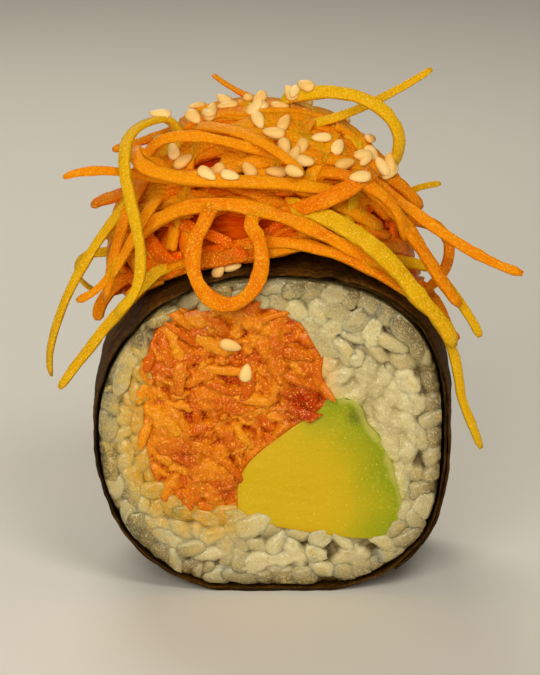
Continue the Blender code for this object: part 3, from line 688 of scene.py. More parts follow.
def riceBed(fronts):
    # the pressed mass: a ring between the wrapper and the fillings, whose cut faces follow the grains' fused
    # tops; a closed line of places (face, outer side, other face, inner side) is carried round it
    angles = np.arange(rice["angles"]) * 2 * math.pi / rice["angles"] - math.pi
    outer, inner = reachOf(riceOutline, angles) - 0.12, reachOf(cavityOutline, angles) - 0.3
    radius = inner[:, None] + (outer - inner)[:, None] * np.linspace(0, 1, rice["across"])
    x = ringCentre[0] + radius * np.cos(angles)[:, None]
    z = ringCentre[1] + radius * np.sin(angles)[:, None]
    places = np.stack([x.ravel(), z.ravel()], axis=1)
    rim = face - 1.1 + 1.1 * np.sqrt(np.clip(wrapperRoom(places) / 0.6, 0, 1))
    wet = stainAt(places)
    sheets = {}
    for side, (centres, headings, radii, tone, stain) in fronts.items():
        height, share, meeting, edge = fused(places, centres, headings, radii, side, rice["soften"],
                                             rice["wander"])
        height = cutFlat(height, face - rice["cut"], 0.15) - rice["groove"] * meeting
        height = np.minimum(height, rim) + rice["dimple"] * waves(places, 1.2, 77, 2)
        found = {"y": side * height, "tone": share @ tone, "stain": share @ stain * wet, "meeting": meeting,
                 "brim": edge}
        sheets[side] = {key: values.reshape(x.shape) for key, values in found.items()}
    rounds = np.linspace(-face + 2.8, face - 2.8, 9)
    swell = roll["barrel"] * (1 - (rounds / face) ** 2)
    outX = x[:, -1:] + swell * np.cos(angles)[:, None]
    outZ = z[:, -1:] + swell * np.sin(angles)[:, None]
    level = rounds + 0 * outX

    def allRound(front, outside, back, inside):
        return np.concatenate([front, outside + 0 * level, back[:, ::-1], inside + 0 * level], axis=1)

    y = allRound(sheets[-1]["y"], level, sheets[1]["y"], level[:, ::-1])
    z = np.maximum(allRound(z, outZ, z, z[:, :1]), roll["sheet"] + roll["gap"] * 0.8)
    points = np.stack([allRound(x, outX, x, x[:, :1]), y, z], axis=-1)
    marks = {key: allRound(sheets[-1][key], outside, sheets[1][key], 0.0)
             for key, outside in (("tone", 0.3), ("stain", 0.0), ("meeting", 0.0), ("brim", 0.0))}
    return addPiece("riceBed", points, ringFaces(points), **marks, **riceMarks(points))


def riceFinish():
    look = Finish("cookedRice", rice["clear"], (0.65, 1.7, (1.0, 0.85, 0.6)), IOR=1.4,
                  Specular_IOR_Level=0.35, Coat_Roughness=0.06, Coat_IOR=1.36)
    tone, stain, brim = look.attribute("tone"), look.attribute("stain"), look.attribute("brim")
    cloud = look.noise(1.7, 4.0, 0.62)
    grain = look.noise(0.3, 3.0, 0.7)
    look.lay((tone * 0.7 + cloud * 1.1).step(0.5, 1.25), rice["pale"])
    # painted shade near the wrapper, less on paler grains
    shaded = look.attribute("wrapper") * (1.6 - tone) + cloud * 0.8 - 0.5
    look.lay(shaded.step(0.0, 1.0) * 0.9, rice["shadeByWrapper"])
    # painted rim light: grains paler towards their edges
    look.lay((brim + cloud * 0.8 - 0.4).step(0.45, 1.0) * 0.55, rice["pale"])
    soak = stain * 1.2 + cloud * 1.3 + grain * 0.7 - brim * 0.3 - 0.95
    look.lay(soak.step(0.0, 0.5), rice["tinge"])
    look.lay(soak.step(0.45, 1.2), rice["stain"])
    look.speckle(0.6, 0.5, rice["clear"], 0.55)
    # painted wet highlights
    look.speckle(0.2, 0.36, rice["wet"], 0.55)
    # painted shade in the lines where grains meet
    look.lay(look.attribute("meeting").step(0.2, 1.0) * 0.34, rice["between"])
    # painted shade in the gaps between grains, less where juice stains them
    look.lay(look.attribute("pit").step(0.1, 0.9) * (0.88 - stain * 0.3), rice["pitShade"])
    return look.done(cloud + grain * 0.5, 0.2, Roughness=0.12 + 0.2 * cloud, Coat_Weight=0.6)


riceLook = riceFinish()
fronts = riceFronts()
dress(looseGrains(fronts), riceLook, "rice", "rice")
dress(riceBed(fronts), riceLook, "rice", "rice")
print("rice done")


# Spicy filling

spicy = {
    "count": 110,               # strips in each layer of each cut face; the rest as for the rice
    "spacing": 1.6,
    "stretch": 2.9,
    "clearance": 0.1,
    "steep": 0.16,
    "rough": 0.4,
    "length": (3.2, 9.0),
    "width": (1.0, 2.1),
    "flatness": (0.6, 0.95),
    "layers": (0.75, 1.7),
    "lean": math.radians(-40),  # the way most strips point
    "soften": 0.06,
    "wander": 0.3,
    "groove": 0.2,
    "dimple": 0.12,
    "rings": 64,                # rings of the bed across each of its faces, and points round each
    "round": 300,
    "sink": 0.6,                # how far the sides of the bed end behind the cut
    "rounding": 0.2,
    "pitDepth": 1.0,
    "loose": 0.5,
    "looseSize": 0.95,
    "looseOut": (-0.1, 0.35),
    "looseStray": 0.7,          # how far a loose strip may lie past the filling's outline
    "sliced": (0.15, 0.5),
    "slicedDimple": 0.0,
    "give": 0.5,
    "shape": {"sides": 10, "rings": np.array([-0.95, -0.72, -0.3, 0.2, 0.68, 0.95]), "point": 0.0,
              "bend": 1.2, "uneven": 0.26, "ripple": 2.8, "blunt": 3.0, "seed": 6},
    # the lighter strips, and the painted rim light at their edges
    "light": colour(230, 142, 16),
    "orange": colour(205, 88, 0),
    # red sauce, and the painted shade in the gaps and joins between strips
    "red": colour(176, 38, 0),
    # painted wet highlights
    "wet": colour(252, 194, 70),
    # where red sauce pools: across, up, size and strength
    "redSpots": [(4.6, 27.2, 3.4, 1.0), (-5.2, 15.0, 2.4, 0.7), (-13.6, 30.0, 2.4, 0.4),
                 (-11.6, 20.0, 2.4, 0.6), (1.6, 35.0, 2.4, 0.4)],
}


def fillingMarks(points):
    # how deep each point lies, and how red it is: the sum of strength * exp(-(distance / size)^2)
    x, z = points[..., 0], points[..., 2]
    red = sum(deep * np.exp(-((x - a) ** 2 + (z - b) ** 2) / size**2)
              for a, b, size, deep in spicy["redSpots"])
    return {"pit": pitAt(points, spicy["pitDepth"]), "red": red}


def fillingRoom(places):
    return roomInside(places, fillingOutline)


def makeFilling():
    # a slab whose cut faces follow the fused tops of its strips, with many of them lying loose on it
    random = np.random.RandomState(33)
    half = face - spicy["sink"]
    points = slab(fillingOutline, half, spicy["rounding"], 0.0, spicy["round"], spicy["rings"])
    shape = points.shape[:2]
    marks = {"tone": np.full(shape, 0.3), "meeting": np.zeros(shape), "brim": np.zeros(shape)}
    loose = []
    for side, rows in ((-1, slice(0, spicy["rings"])), (1, slice(-spicy["rings"], None))):
        front, first = pressedFront(fillingRoom, fillingOutline, spicy, random, side)
        tones = random.uniform(0, 1, len(front[0]))
        places = seen(points[rows])
        height, share, meeting, edge = fused(places, *front, side, spicy["soften"], spicy["wander"])
        rim = face - 0.3 + 0.5 * np.sqrt(np.clip(fillingRoom(places) / 0.6, 0, 1))
        height = np.minimum(height, rim) + spicy["dimple"] * waves(places, 1.3, 78, 3)
        height = height - spicy["groove"] * meeting
        points[rows, :, 1] = side * height.reshape(-1, spicy["round"])
        for key, found in (("tone", share @ tones), ("meeting", meeting), ("brim", edge)):
            marks[key][rows] = found.reshape(-1, spicy["round"])
        chosen = np.flatnonzero(random.uniform(size=first) < spicy["loose"])
        out = np.array([0.0, side, 0.0]) * random.uniform(*spicy["looseOut"], (len(chosen), 1))
        centres, headings, radii = (each[chosen] for each in front)
        loose.append((centres + out, headings, radii * spicy["looseSize"], tones[chosen]))
    bed = addPiece("fillingBed", points, tubeFaces(points), **marks, **fillingMarks(points))
    *strips, tones = (np.concatenate(each) for each in zip(*loose))
    points, faces, brim = looseOnes(spicy, *strips, random, fillingRoom, -spicy["looseStray"])
    tone = np.repeat(tones, points.shape[1])
    return addPiece("fillingStrips", points, faces, tone=tone, brim=brim, **fillingMarks(points)), bed


def fillingFinish():
    look = Finish("spicyStrips", spicy["orange"], (0.25, 0.6, (1.0, 0.35, 0.1)), IOR=1.4,
                  Specular_IOR_Level=0.3, Specular_Tint=(1.0, 0.66, 0.22), Coat_Roughness=0.03, Coat_IOR=1.36)
    cloud = look.noise(1.8, 4.0, 0.65)
    fine = look.noise(0.4, 3.0, 0.7)
    look.lay((look.attribute("tone") * 0.7 + cloud * 0.9 - 0.3).step(0.25, 0.85), spicy["light"])
    # painted rim light at the strips' edges
    look.lay((look.attribute("brim") + cloud - 0.5).step(0.5, 1.0) * 0.55, spicy["light"])
    look.lay((look.attribute("red") * 0.95 + cloud * 1.2 - 0.72).step(0.0, 0.7), spicy["red"])
    # painted shade in the lines where strips meet
    look.lay(look.attribute("meeting").step(0.1, 0.9) * 0.8, spicy["red"])
    # painted shade in the gaps
    look.lay(look.attribute("pit").step(0.2, 0.95), spicy["red"])
    # painted wet highlights
    look.speckle(0.28, 0.7, spicy["wet"], 0.56)
    return look.done(fine * 0.5 + cloud * 1.1, 0.26, Roughness=0.08 + 0.12 * fine, Coat_Weight=0.35)


fillingLook = fillingFinish()
for piece in makeFilling():
    dress(piece, fillingLook, "filling", "spicy_filling")
print("filling done")


# Avocado

avocado = {
    "rings": 44,                # rings across each face, and points round each
    "round": 240,
    "sink": 0.4,
    "rounding": 0.12,
    "crown": 0.1,
    "ragged": 0.25,             # how far its outer edge wanders
    "raggedWidth": 1.5,
    "yellow": colour(206, 171, 6),
    "middle": colour(192, 170, 5),
    "green": colour(134, 150, 2),
    "deepGreen": colour(96, 108, 8),
    "rust": colour(196, 142, 6),
    # also the colour of small painted glints
    "fleck": colour(246, 216, 92),
    "smear": colour(192, 182, 92),
    "spot": (11.9, 25.6),       # the bruise at the upper right, where the rim is darkest
}


def avocadoPiece():
    # a slab on its outline, whose outer edge is a little ragged, with broad and fine waves on its cut faces
    outer = np.vstack([toRight, underneath[:20]])
    edge = evenly(avocadoOutline, avocado["round"], closed=True)
    near = np.exp(-(awayFrom(edge, outer) / avocado["raggedWidth"]) ** 2)
    grown = avocado["ragged"] * (1 + waves(edge, 2.2, 9, 3)) * near
    edge = edge + unit(edge - edge.mean(axis=0)) * grown[:, None]
    points = slab(edge, face - avocado["sink"], avocado["rounding"], avocado["crown"], avocado["round"],
                  avocado["rings"])
    drag = waves(points * [1, 0.05, 1], 11.0, 4, 2) * 0.1 + waves(points * [1, 0.3, 1], 1.7, 5, 3) * 0.02
    points[..., 1] += np.sign(points[..., 1]) * drag
    return addPiece("avocadoWedge", points, tubeFaces(points), rim=awayFrom(seen(points), outer),
                    edge=roomInside(seen(points), avocadoOutline))


def avocadoFinish():
    look = Finish("ripeAvocado", avocado["middle"], (0.25, 1.2, (1.0, 0.8, 0.15)), IOR=1.42,
                  Specular_IOR_Level=0.28)
    rim, edge = look.attribute("rim"), look.attribute("edge")
    cloud = look.noise(4.5, 3.0, 0.55)
    speckle = look.noise(0.3, 3.0, 0.7)
    toRim = rim + cloud * 3.0 - 1.5
    look.lay(toRim.step(5.2, 9.8), avocado["yellow"])
    look.lay(1 - toRim.step(0.8, 6.6), avocado["green"])
    flat = look.node("ShaderNodeVectorMath", {"operation": "MULTIPLY"}, {0: look.place, 1: (1, 0, 1)})
    spot = (avocado["spot"][0] * mm, 0, avocado["spot"][1] * mm)
    away = look.node("ShaderNodeVectorMath", {"operation": "DISTANCE"}, {0: flat, 1: spot}, "Value")
    look.lay(1 - (away * 1000 + cloud * 1.6 - 0.8).step(0.3, 1.8), avocado["deepGreen"])
    rusty = 1 - (edge + cloud * 0.8).step(0.3, 1.1)
    look.lay(rusty * rim.step(4.0, 8.0) * 0.6, avocado["rust"])
    look.lay((1 - (rim + cloud * 3.4 - 1.6).step(0.1, 0.9)) * 0.7, avocado["smear"])
    look.lay(speckle.step(0.4, 0.75) * 0.3, avocado["middle"])
    # painted glints
    look.speckle(0.3, 0.3, avocado["fleck"], 0.6)
    look.lay(look.noise(1.1, 2.0, 0.4).step(0.7, 0.76) * 0.5, avocado["fleck"])
    return look.done(speckle * 0.5 + cloud * 0.3, 0.14, Roughness=0.34 + 0.2 * speckle)


dress(avocadoPiece(), avocadoFinish(), "avocado", "avocado")
print("avocado done")


# Cream cheese

cream = {
    "rows": 130,                # down the band, and across each of its faces
    "across": 44,
    "sink": 0.1,
    "rounding": 0.12,
    "soften": 0.4,              # its lumps are softer than the grains that they carry on from
    "softWidth": 3.0,           # how far from the rice they are softest
    "softSink": 0.35,
    "softTone": 0.6,
    "white": colour(208, 194, 142),
    "shade": colour(188, 173, 120),
    "orangeSmear": colour(228, 170, 84),
    "greenSmear": colour(196, 188, 84),
}


def creamPiece(fronts):
    # a rectangle with small rounded corners, across the band and along Y, carried down between its edges;
    # its cut faces are lumps that start as sharp as the rice at the outer edge and soften inwards
    outer = evenly(np.vstack([roundCream, [fillings["right"]]]), cream["rows"])
    inner = evenly(np.vstack([fillingSide, toRight, [fillings["right"]]]), cream["rows"])
    middle, arm = (outer + inner) / 2, (outer - inner) / 2
    width = np.maximum(np.linalg.norm(arm, axis=1), 0.02)[:, None]
    radius = np.minimum(cream["rounding"], width * 0.8)
    half = face - cream["sink"]
    turn = np.linspace(0, math.pi / 2, 5)
    span = np.linspace(1, -1, cream["across"])[1:-1] * (width - radius)
    level = half + 0 * span
    out, back = width - radius * (1 - np.cos(turn)), half - radius * (1 - np.sin(turn))
    across = np.concatenate([out, span, -out[:, ::-1], -out, -span, out[:, ::-1]], axis=1)[:, ::-1]
    along = np.concatenate([back, level, back[:, ::-1], -back, -level, -back[:, ::-1]], axis=1)[:, ::-1]
    centre = middle[:, None] + arm[:, None] * (across / width)[..., None]
    places = centre.reshape(-1, 2)
    soft = np.clip(awayFrom(places, roundCream).reshape(across.shape) / cream["softWidth"], 0, 1)
    y, tone, line = along, np.full(across.shape, cream["softTone"]), np.zeros(across.shape)
    for side, (centres, headings, radii, tones, _) in fronts.items():
        grains = (centres, headings, radii, side)
        sharp, share, meeting, _ = fused(places, *grains, rice["soften"], rice["wander"])
        gentle = fused(places, *grains, cream["soften"], rice["wander"])[0] - cream["softSink"]
        found = (sharp, gentle, meeting, share @ tones)
        sharp, gentle, meeting, own = (each.reshape(soft.shape) for each in found)
        meeting = meeting * (1 - soft * 0.8)
        height = cutFlat(sharp * (1 - soft) + gentle * soft, face - rice["cut"], 0.2)
        height = height + rice["dimple"] * waves(centre, 1.2, 17, 2) - rice["groove"] * meeting
        here = np.sign(along) == side
        y = np.where(here, side * (height - 0.06 - (half - np.abs(along))), y)
        tone = np.where(here, own * (1 - soft) + cream["softTone"] * soft, tone)
        line = np.where(here, meeting, line)
    points = np.stack([centre[..., 0], y, centre[..., 1]], axis=-1)
    return addPiece("creamCheese", points, tubeFaces(points), tone=tone, soft=soft, meeting=line,
                    pit=pitAt(points), avocado=awayFrom(places, toRight),
                    filling=awayFrom(places, fillingSide))


def creamFinish():
    look = Finish("creamCheese", rice["clear"], (0.35, 1.6, (1.0, 0.8, 0.5)), IOR=1.42,
                  Specular_IOR_Level=0.35)
    cloud = look.noise(2.2, 4.0, 0.62)
    fine = look.noise(0.36, 3.0, 0.7)
    look.lay((look.attribute("tone") * 0.7 + cloud * 1.1).step(0.5, 1.25), rice["pale"])
    look.lay(look.attribute("soft"), look.mix(cloud.step(0.35, 0.65), cream["shade"], cream["white"]))
    # painted shade in the gaps
    look.lay(look.attribute("pit").step(0.1, 0.9) * 0.6, rice["clear"])
    # painted shade where the lumps meet
    look.lay(look.attribute("meeting").step(0.2, 1.0) * 0.6, rice["between"])
    look.lay((1 - (look.attribute("filling") + cloud * 2.4 - 1.2).step(0.2, 2.6)) * 0.7, cream["orangeSmear"])
    look.lay((1 - (look.attribute("avocado") + cloud * 2.0 - 1.0).step(0.1, 1.3)) * 0.6, cream["greenSmear"])
    # painted wet highlights
    look.speckle(0.26, 0.5, rice["wet"], 0.56)
    return look.done(cloud * 0.6 + fine * 0.45, 0.26, Roughness=0.26 + 0.3 * fine, Coat_Weight=0.3)


dress(creamPiece(fronts), creamFinish(), "cream_cheese", "cream_cheese")
print("cream cheese done")


# The heap of shredded roots

heap = {
    "centre": np.array([-1.0, 0.5, 44.0]),
    "radii": np.array([20.5, 12.5, 22.0]),
    "back": 12.6,               # how far back a strand's middle may lie
    "tuck": 7.0,                # how far a strand carries on into the heap
    "steps": 34,                # rings along each strand
    "corners": [0, 39, 51, 90, 129, 141, 180, 219, 231, 270, 309, 321],   # points round it, in degrees
    "fillers": 22,              # long strands laid over the heap
    "fillerWidth": 2.1,
    "extras": 142,              # others between them
    "shorts": 66,               # short ends lying over the others
    # the heap's lower front edge, as across and up in the picture's plane: what lies over the wrapper
    # overhangs it there, and leaves its top in sight
    "lip": [(-24, 37.0), (-16, 41.5), (-10.2, 44.7), (-2.8, 45.6), (5.6, 47.6), (8.4, 47.8), (12.6, 45.4),
            (16.8, 42.3), (19.9, 39.8), (24, 36.0)],
    "coreRows": 56,
    "coreColumns": 120,
    "coreBelow": 12,            # rings of the core's underside
}
tilt = math.radians(16)         # how steeply the camera looks down
# Arcs laid at random: how high their middles are and how far to the sides, how far their headings stray, how
# far out they run, how much they bow, half their length in radians, and the strands' widths and colours
fillerArcs = {"height": (0.35, 1.0), "sides": 0.55, "spread": 0.45, "layer": (0.985, 1.045), "sway": 0.16,
              "reach": (0.65, 1.15)}
extraArcs = {"height": (0.1, 1.0), "sides": 1.1, "spread": 0.6, "layer": (0.95, 1.035), "sway": 0.3,
             "reach": (0.4, 1.1), "width": (1.4, 2.5), "tone": (0.05, 0.98)}
shortArcs = {"height": (0.2, 1.0), "sides": 0.55, "spread": 0.9, "layer": (1.0, 1.045), "sway": 0.1,
             "reach": (0.14, 0.42), "width": (1.2, 2.2), "tone": (0.2, 0.95)}

# Each strand: where it leaves the heap, two points that pull it, where it ends, its width and its colour,
# from 0, deep orange, to 1, yellow
strands = {
    "leftLong": ((-14, -4, 65.5), (-28, -14, 66.5), (-10.5, -18, 48.5), (-21, -16, 41), 1.7, 0.97),
    "farLeft": ((-17, -5, 56.5), (-24.5, -10, 50.5), (-32, -9, 36), (-30.5, -7, 29.5), 1.4, 0.9),
    "leftLow": ((-15.5, -11, 45.5), (-19.5, -13, 42), (-24.5, -13, 36), (-29, -13, 29.5), 1.6, 0.8),
    "leftReach": ((-13.5, -7, 57.5), (-18.5, -10, 59), (-24, -12, 61), (-28, -12, 59), 1.4, 0.6),
    "leftStub": ((-15, -1, 55.5), (-18.5, 0, 54.5), (-21, 0, 54), (-25, 1, 52), 2, 0.25),
    "leftWisp": ((-13.5, 0, 63), (-16.5, 1, 61.5), (-19, 2, 60.5), (-22, 3, 59.5), 1.3, 0.4),
    "leftCurl": ((-18, 0, 44.5), (-27.5, 3, 47), (-30, 5, 41), (-24.5, 6, 38), 1.3, 0.85),
    "leftFall": ((-17, -5, 57.5), (-20, -10, 54), (-21, -12, 49), (-22.5, -12, 42), 1.7, 0.45),
    "leftSweep": ((-15, -8, 55.5), (-18.5, -12, 52.5), (-20.5, -13, 44), (-26.5, -11, 41.5), 1.4, 0.7),
    "leftFoot": ((-6.5, -8, 49.5), (-11.5, -8, 47), (-15, -6, 43.5), (-18.5, -5, 40), 1.8, 0.4),
    "leftTuft": ((-17, -3, 44.5), (-20.5, -4, 42.5), (-24, -5, 41), (-24, -5, 37), 2, 0.35),
    "topCurl": ((2, -1, 67.5), (14, -5, 72.5), (22.5, -5, 63), (15, -2, 56.5), 1.8, 0.98),
    "topReach": ((2.5, -4, 64), (9.5, -2, 64.5), (16.5, 1, 67.5), (22.5, 3, 71), 1.3, 0.95),
    "topSpike": ((0, 2, 66), (-3, 3, 67), (-5.5, 4, 68), (-8, 5, 69.8), 1.1, 0.5),
    "rightSpike": ((16, 0, 52), (19, 1, 54), (21.5, 3, 54.5), (24, 4, 54.4), 1.1, 0.8),
    "rightLong": ((9, -5, 60), (18, -7, 55.5), (24.5, -9, 48), (34.7, -10, 45), 1.7, 0.5),
    "rightThick": ((10.5, -8, 58.5), (18, -10, 55.5), (21.5, -12, 46.5), (26, -12, 41), 2.1, 0.4),
    "rightUnder": ((22, -8, 45.5), (25, -10, 42.5), (27.5, -10, 39.5), (29, -10, 36), 1.5, 0.85),
    "rightCurl": ((20, -4, 51), (26, -4, 51), (26.5, -5, 44.5), (21, -7, 41.5), 1.5, 0.35),
    "rightDrape": ((2.5, -10, 54.5), (14, -14, 53), (20, -15, 44.5), (24.4, -14, 35.3), 2.5, 0.8),
    "rightFall": ((19.5, -9, 43), (23, -12, 37), (26.5, -12, 27.5), (29.3, -12, 20.5), 1.5, 1),
    "rightStub": ((19.5, -2, 39.5), (22.5, -2, 37), (24.5, -2, 35), (26.5, -2, 33.3), 1.7, 0.3),
    "frontFoot": ((-12, -9, 46.5), (-4.5, -12, 50), (5, -13, 54), (21, -13, 41.5), 1.7, 0.45),
    "wideCross": ((2.5, -10, 53.5), (6.5, -12.5, 55.5), (10.5, -12.5, 57), (14, -9, 59), 2.4, 0.35),
    "longShelf": ((-18.5, -8, 62), (-18.5, -14, 57), (0, -14, 60.5), (9.5, -9, 56), 1.9, 0.76),
    "frontArch": ((-20, -8, 48), (-12, -14, 58.5), (-1.5, -14, 58.5), (18, -12, 44.5), 2, 0.5),
    "upperArch": ((-17, -6, 59), (-17, -10.5, 67), (-6, -10.5, 64.5), (3.5, -8, 60), 1.5, 0.55),
    "crossDown": ((-10, -3.5, 64.2), (-4.5, -8, 65.4), (0.5, -11.5, 63.4), (4.5, -12, 59.6), 1.6, 0.7),
    "crossRight": ((7.5, -9, 59.2), (13.5, -10.5, 58.4), (18, -11, 55.5), (18.5, -11, 50), 1.8, 0.4),
    "rightRidge": ((6, -4, 62), (11, -5.5, 61), (17.5, -4, 57.5), (21, -3, 52.5), 2.2, 0.45),
}
returning = ("topCurl", "rightCurl", "frontArch", "upperArch", "longShelf", "wideCross")
loop = {
    "centre": np.array([-5.8, -13.2, 48.4]),
    "radii": (4.7, 6.0),
    "lean": 3.2,
    "opening": math.radians(85),
    "curl": [(0.4, 0.6, 1.3), (1.6, 2.0, 2.1), (3.6, 4.6, 2.0)],
    "width": 2.1,
    "tone": 0.34,
}
carrot = {
    "deep": colour(222, 94, 1),
    "orange": colour(238, 140, 4),
    "amber": colour(242, 154, 5),
    # painted glow where the heap is in shade
    "inside": colour(255, 90, 0),
    "core": colour(196, 52, 0),
    # painted wet highlights
    "wetGlint": colour(252, 194, 52),
}
yellowRoot = {
    "deep": colour(180, 147, 6),
    "orange": colour(210, 154, 4),
    "amber": colour(230, 177, 9),
    # painted glow where the heap is in shade
    "inside": colour(255, 160, 4),
    # painted wet highlights
    "wetGlint": colour(252, 212, 76),
}


def clearOfRoll(path, half):
    # a path moved outward until a strand of that half thickness lies on the wrapper or outside it
    path = path.copy()
    dx, dz = path[..., 0], path[..., 2] - rollMiddle
    need = rollRadius(np.arctan2(dz, dx), 2 * roll["gap"] + 2 * roll["sheet"] + roll["barrel"] + half)
    have = np.hypot(dx, dz)
    beside = np.abs(path[..., 1]) < face + half + 2 * roll["gap"]
    push = np.where(beside & (have < need), need / np.maximum(have, 1e-9), 1.0)
    path[..., 0] = dx * push
    path[..., 2] = dz * push + rollMiddle
    return path


def overLip(path, half):
    # a path raised where it would hide the wrapper's top from the front; what lies far back stays
    lip = np.array(heap["lip"])
    rise, run = math.cos(tilt), math.sin(tilt)
    up = (path[..., 1] + face) * run + path[..., 2] * rise
    need = np.interp(path[..., 0], lip[:, 0], lip[:, 1]) + half
    front = np.clip((3.0 - path[..., 1]) / 5.0, 0, 1)
    path = path.copy()
    path[..., 2] += np.clip(need - up, 0, None) / rise * front
    return path


def cubic(a, b, c, d):
    # a (1-t)^3 + 3 b t (1-t)^2 + 3 c t^2 (1-t) + d t^3
    a, b, c, d = np.array([a, b, c, d], float)
    t = np.linspace(0, 1, 60)[:, None]
    return a * (1 - t) ** 3 + 3 * b * t * (1 - t) ** 2 + 3 * c * t**2 * (1 - t) + d * t**3


def tucked(path, centre):
    # a path that starts farther back, in the heap
    inward = unit(centre - path[0])
    return np.vstack([path[0] + inward * heap["tuck"] * np.array([[1.0], [0.66], [0.33]]), path])


def namedPath(name):
    *points, width, _ = strands[name]
    middle = heap["centre"] + np.array([0.0, 0.0, 4.0])
    path = tucked(clearOfRoll(cubic(*points), width / 2), middle)
    return tucked(path[::-1], middle)[::-1] if name in returning else path


def loopPath():
    # an upright oval, open at the top, that leans out at its foot; both ends curl over and into the heap
    turn = np.linspace(math.pi / 2 + loop["opening"] / 2, math.pi * 5 / 2 - loop["opening"] / 2, 60)
    lean = -loop["lean"] * (1 - np.sin(turn)) / 2
    path = np.stack([loop["radii"][0] * np.cos(turn), lean, loop["radii"][1] * np.sin(turn)], axis=1)
    path = loop["centre"] + path
    curl = np.array(loop["curl"])
    before = path[0] + curl[::-1]
    after = path[-1] + curl * (1.4, 1, 1)
    return smoothEdge(before[0], [*before[1:], *path[::5], path[-1], *after[:-1]], after[-1], 8)


def overHeap(random, look):
    # an arc over the heap: middle cos t + tangent sin t + bow cos 2t, stretched to the heap's radii
    sides = look["sides"]
    place = [random.uniform(-sides, sides), random.uniform(-0.75, 1.0), random.uniform(*look["height"])]
    middle = unit(np.array(place))
    heading = random.normal(0, look["spread"])
    tangent = np.array([math.cos(heading), math.sin(heading), 0.0])
    tangent = unit(tangent - middle * (tangent @ middle))
    reach = random.uniform(*look["reach"])
    t = np.linspace(-reach, reach, 60)[:, None]
    bow = np.cross(middle, tangent) * random.normal(0, look["sway"])
    grown = random.uniform(*look["layer"])
    arc = unit(middle * np.cos(t) + tangent * np.sin(t) + bow * np.cos(2 * t))
    arc = heap["centre"] + heap["radii"] * grown * arc
    over = np.clip(arc[:, 1] - heap["back"] + 2.2, 0, None)
    arc[:, 1] -= over - random.uniform(0.6, 2.2) * np.tanh(over / 2.2)   # it turns down at the heap's back
    return arc


def strandRings(paths, widths, flatness, twist, tips, facing):
    # a rectangle with rounded corners carried along each path on a frame that follows it without spinning,
    # its broad side outward or, by `facing`, to the front; turned by twist, uneven along its length and
    # narrowing to its tip
    paths = np.array([evenly(path, heap["steps"]) for path in paths])
    along = unit(np.gradient(paths, axis=1))
    side = np.empty_like(along)
    start = heap["steps"] * 5 // 8
    outward = unit(paths[:, start] - heap["centre"]) + facing[:, None] * [0.0, -1.0, 0.3]
    side[:, start] = unit(np.cross(along[:, start], outward))
    for k in [*range(start + 1, heap["steps"]), *range(start - 1, -1, -1)]:
        last = side[:, k - 1 if k > start else k + 1]
        side[:, k] = unit(last - along[:, k] * (last * along[:, k]).sum(-1, keepdims=True))
    up = np.cross(side, along)
    run = np.linspace(0, 1, heap["steps"])[None]
    turn = twist[:, :1] + twist[:, 1:] * (run - 0.62)
    a = side * np.cos(turn)[..., None] + up * np.sin(turn)[..., None]
    b = up * np.cos(turn)[..., None] - side * np.sin(turn)[..., None]
    number = np.arange(len(paths))[:, None] * 17.0
    length = np.linalg.norm(np.diff(paths, axis=1), axis=2).sum(axis=1)
    travelled = run * length[:, None]
    where = np.stack(np.broadcast_arrays(travelled, number, 0.0), axis=-1)
    uneven = 1 + 0.08 * waves(where, 6.0, 41, 3)
    taper = 1 - (1 - tips[:, None]) * run**3
    taper = taper * np.clip((1 - run) * length[:, None] / 0.7 + 0.55, 0, 1)
    half = (widths[:, None] / 2 * uneven * taper)[..., None, None]
    angle = np.radians(heap["corners"])[::-1]
    corner = np.stack([np.cos(angle), np.sin(angle)], axis=1)
    corner = corner / (np.abs(corner) ** 6).sum(axis=1, keepdims=True) ** (1 / 6)
    wide = corner[:, 0][None, None, :, None] * half
    deep = corner[:, 1][None, None, :, None] * half * flatness[:, None, None, None]
    rings = paths[:, :, None] + a[:, :, None] * wide + b[:, :, None] * deep
    fray = 0.06 * waves(rings, 2.2, 43, 2)
    rings = rings + (rings - paths[:, :, None]) * fray[..., None]
    # `fibre` is a place along and round each strand, for threads that are drawn out along it
    around = np.arctan2(corner[:, 1], corner[:, 0])
    lengthwise = travelled[..., None] / 7 + number[..., None]
    fibre = np.stack(np.broadcast_arrays(lengthwise, 1.6 * np.cos(around), 1.6 * np.sin(around)), axis=-1)
    # the third result is 1 deep in the heap and on the undersides of the strands that lie on it, where a
    # painted red glow stands in for the light that comes only through their neighbours
    depth = (rings - heap["centre"]) / heap["radii"]
    reach = np.linalg.norm(depth, axis=-1)
    level = (unit(rings - paths[:, :, None]) * unit(depth / heap["radii"])).sum(axis=-1)
    under = np.clip((0.35 - level) / 0.9, 0, 1) * np.clip((1.16 - reach) / 0.08, 0, 1)
    return rings, fibre, np.maximum(np.clip((1.065 - reach) / 0.08, 0, 1), under)


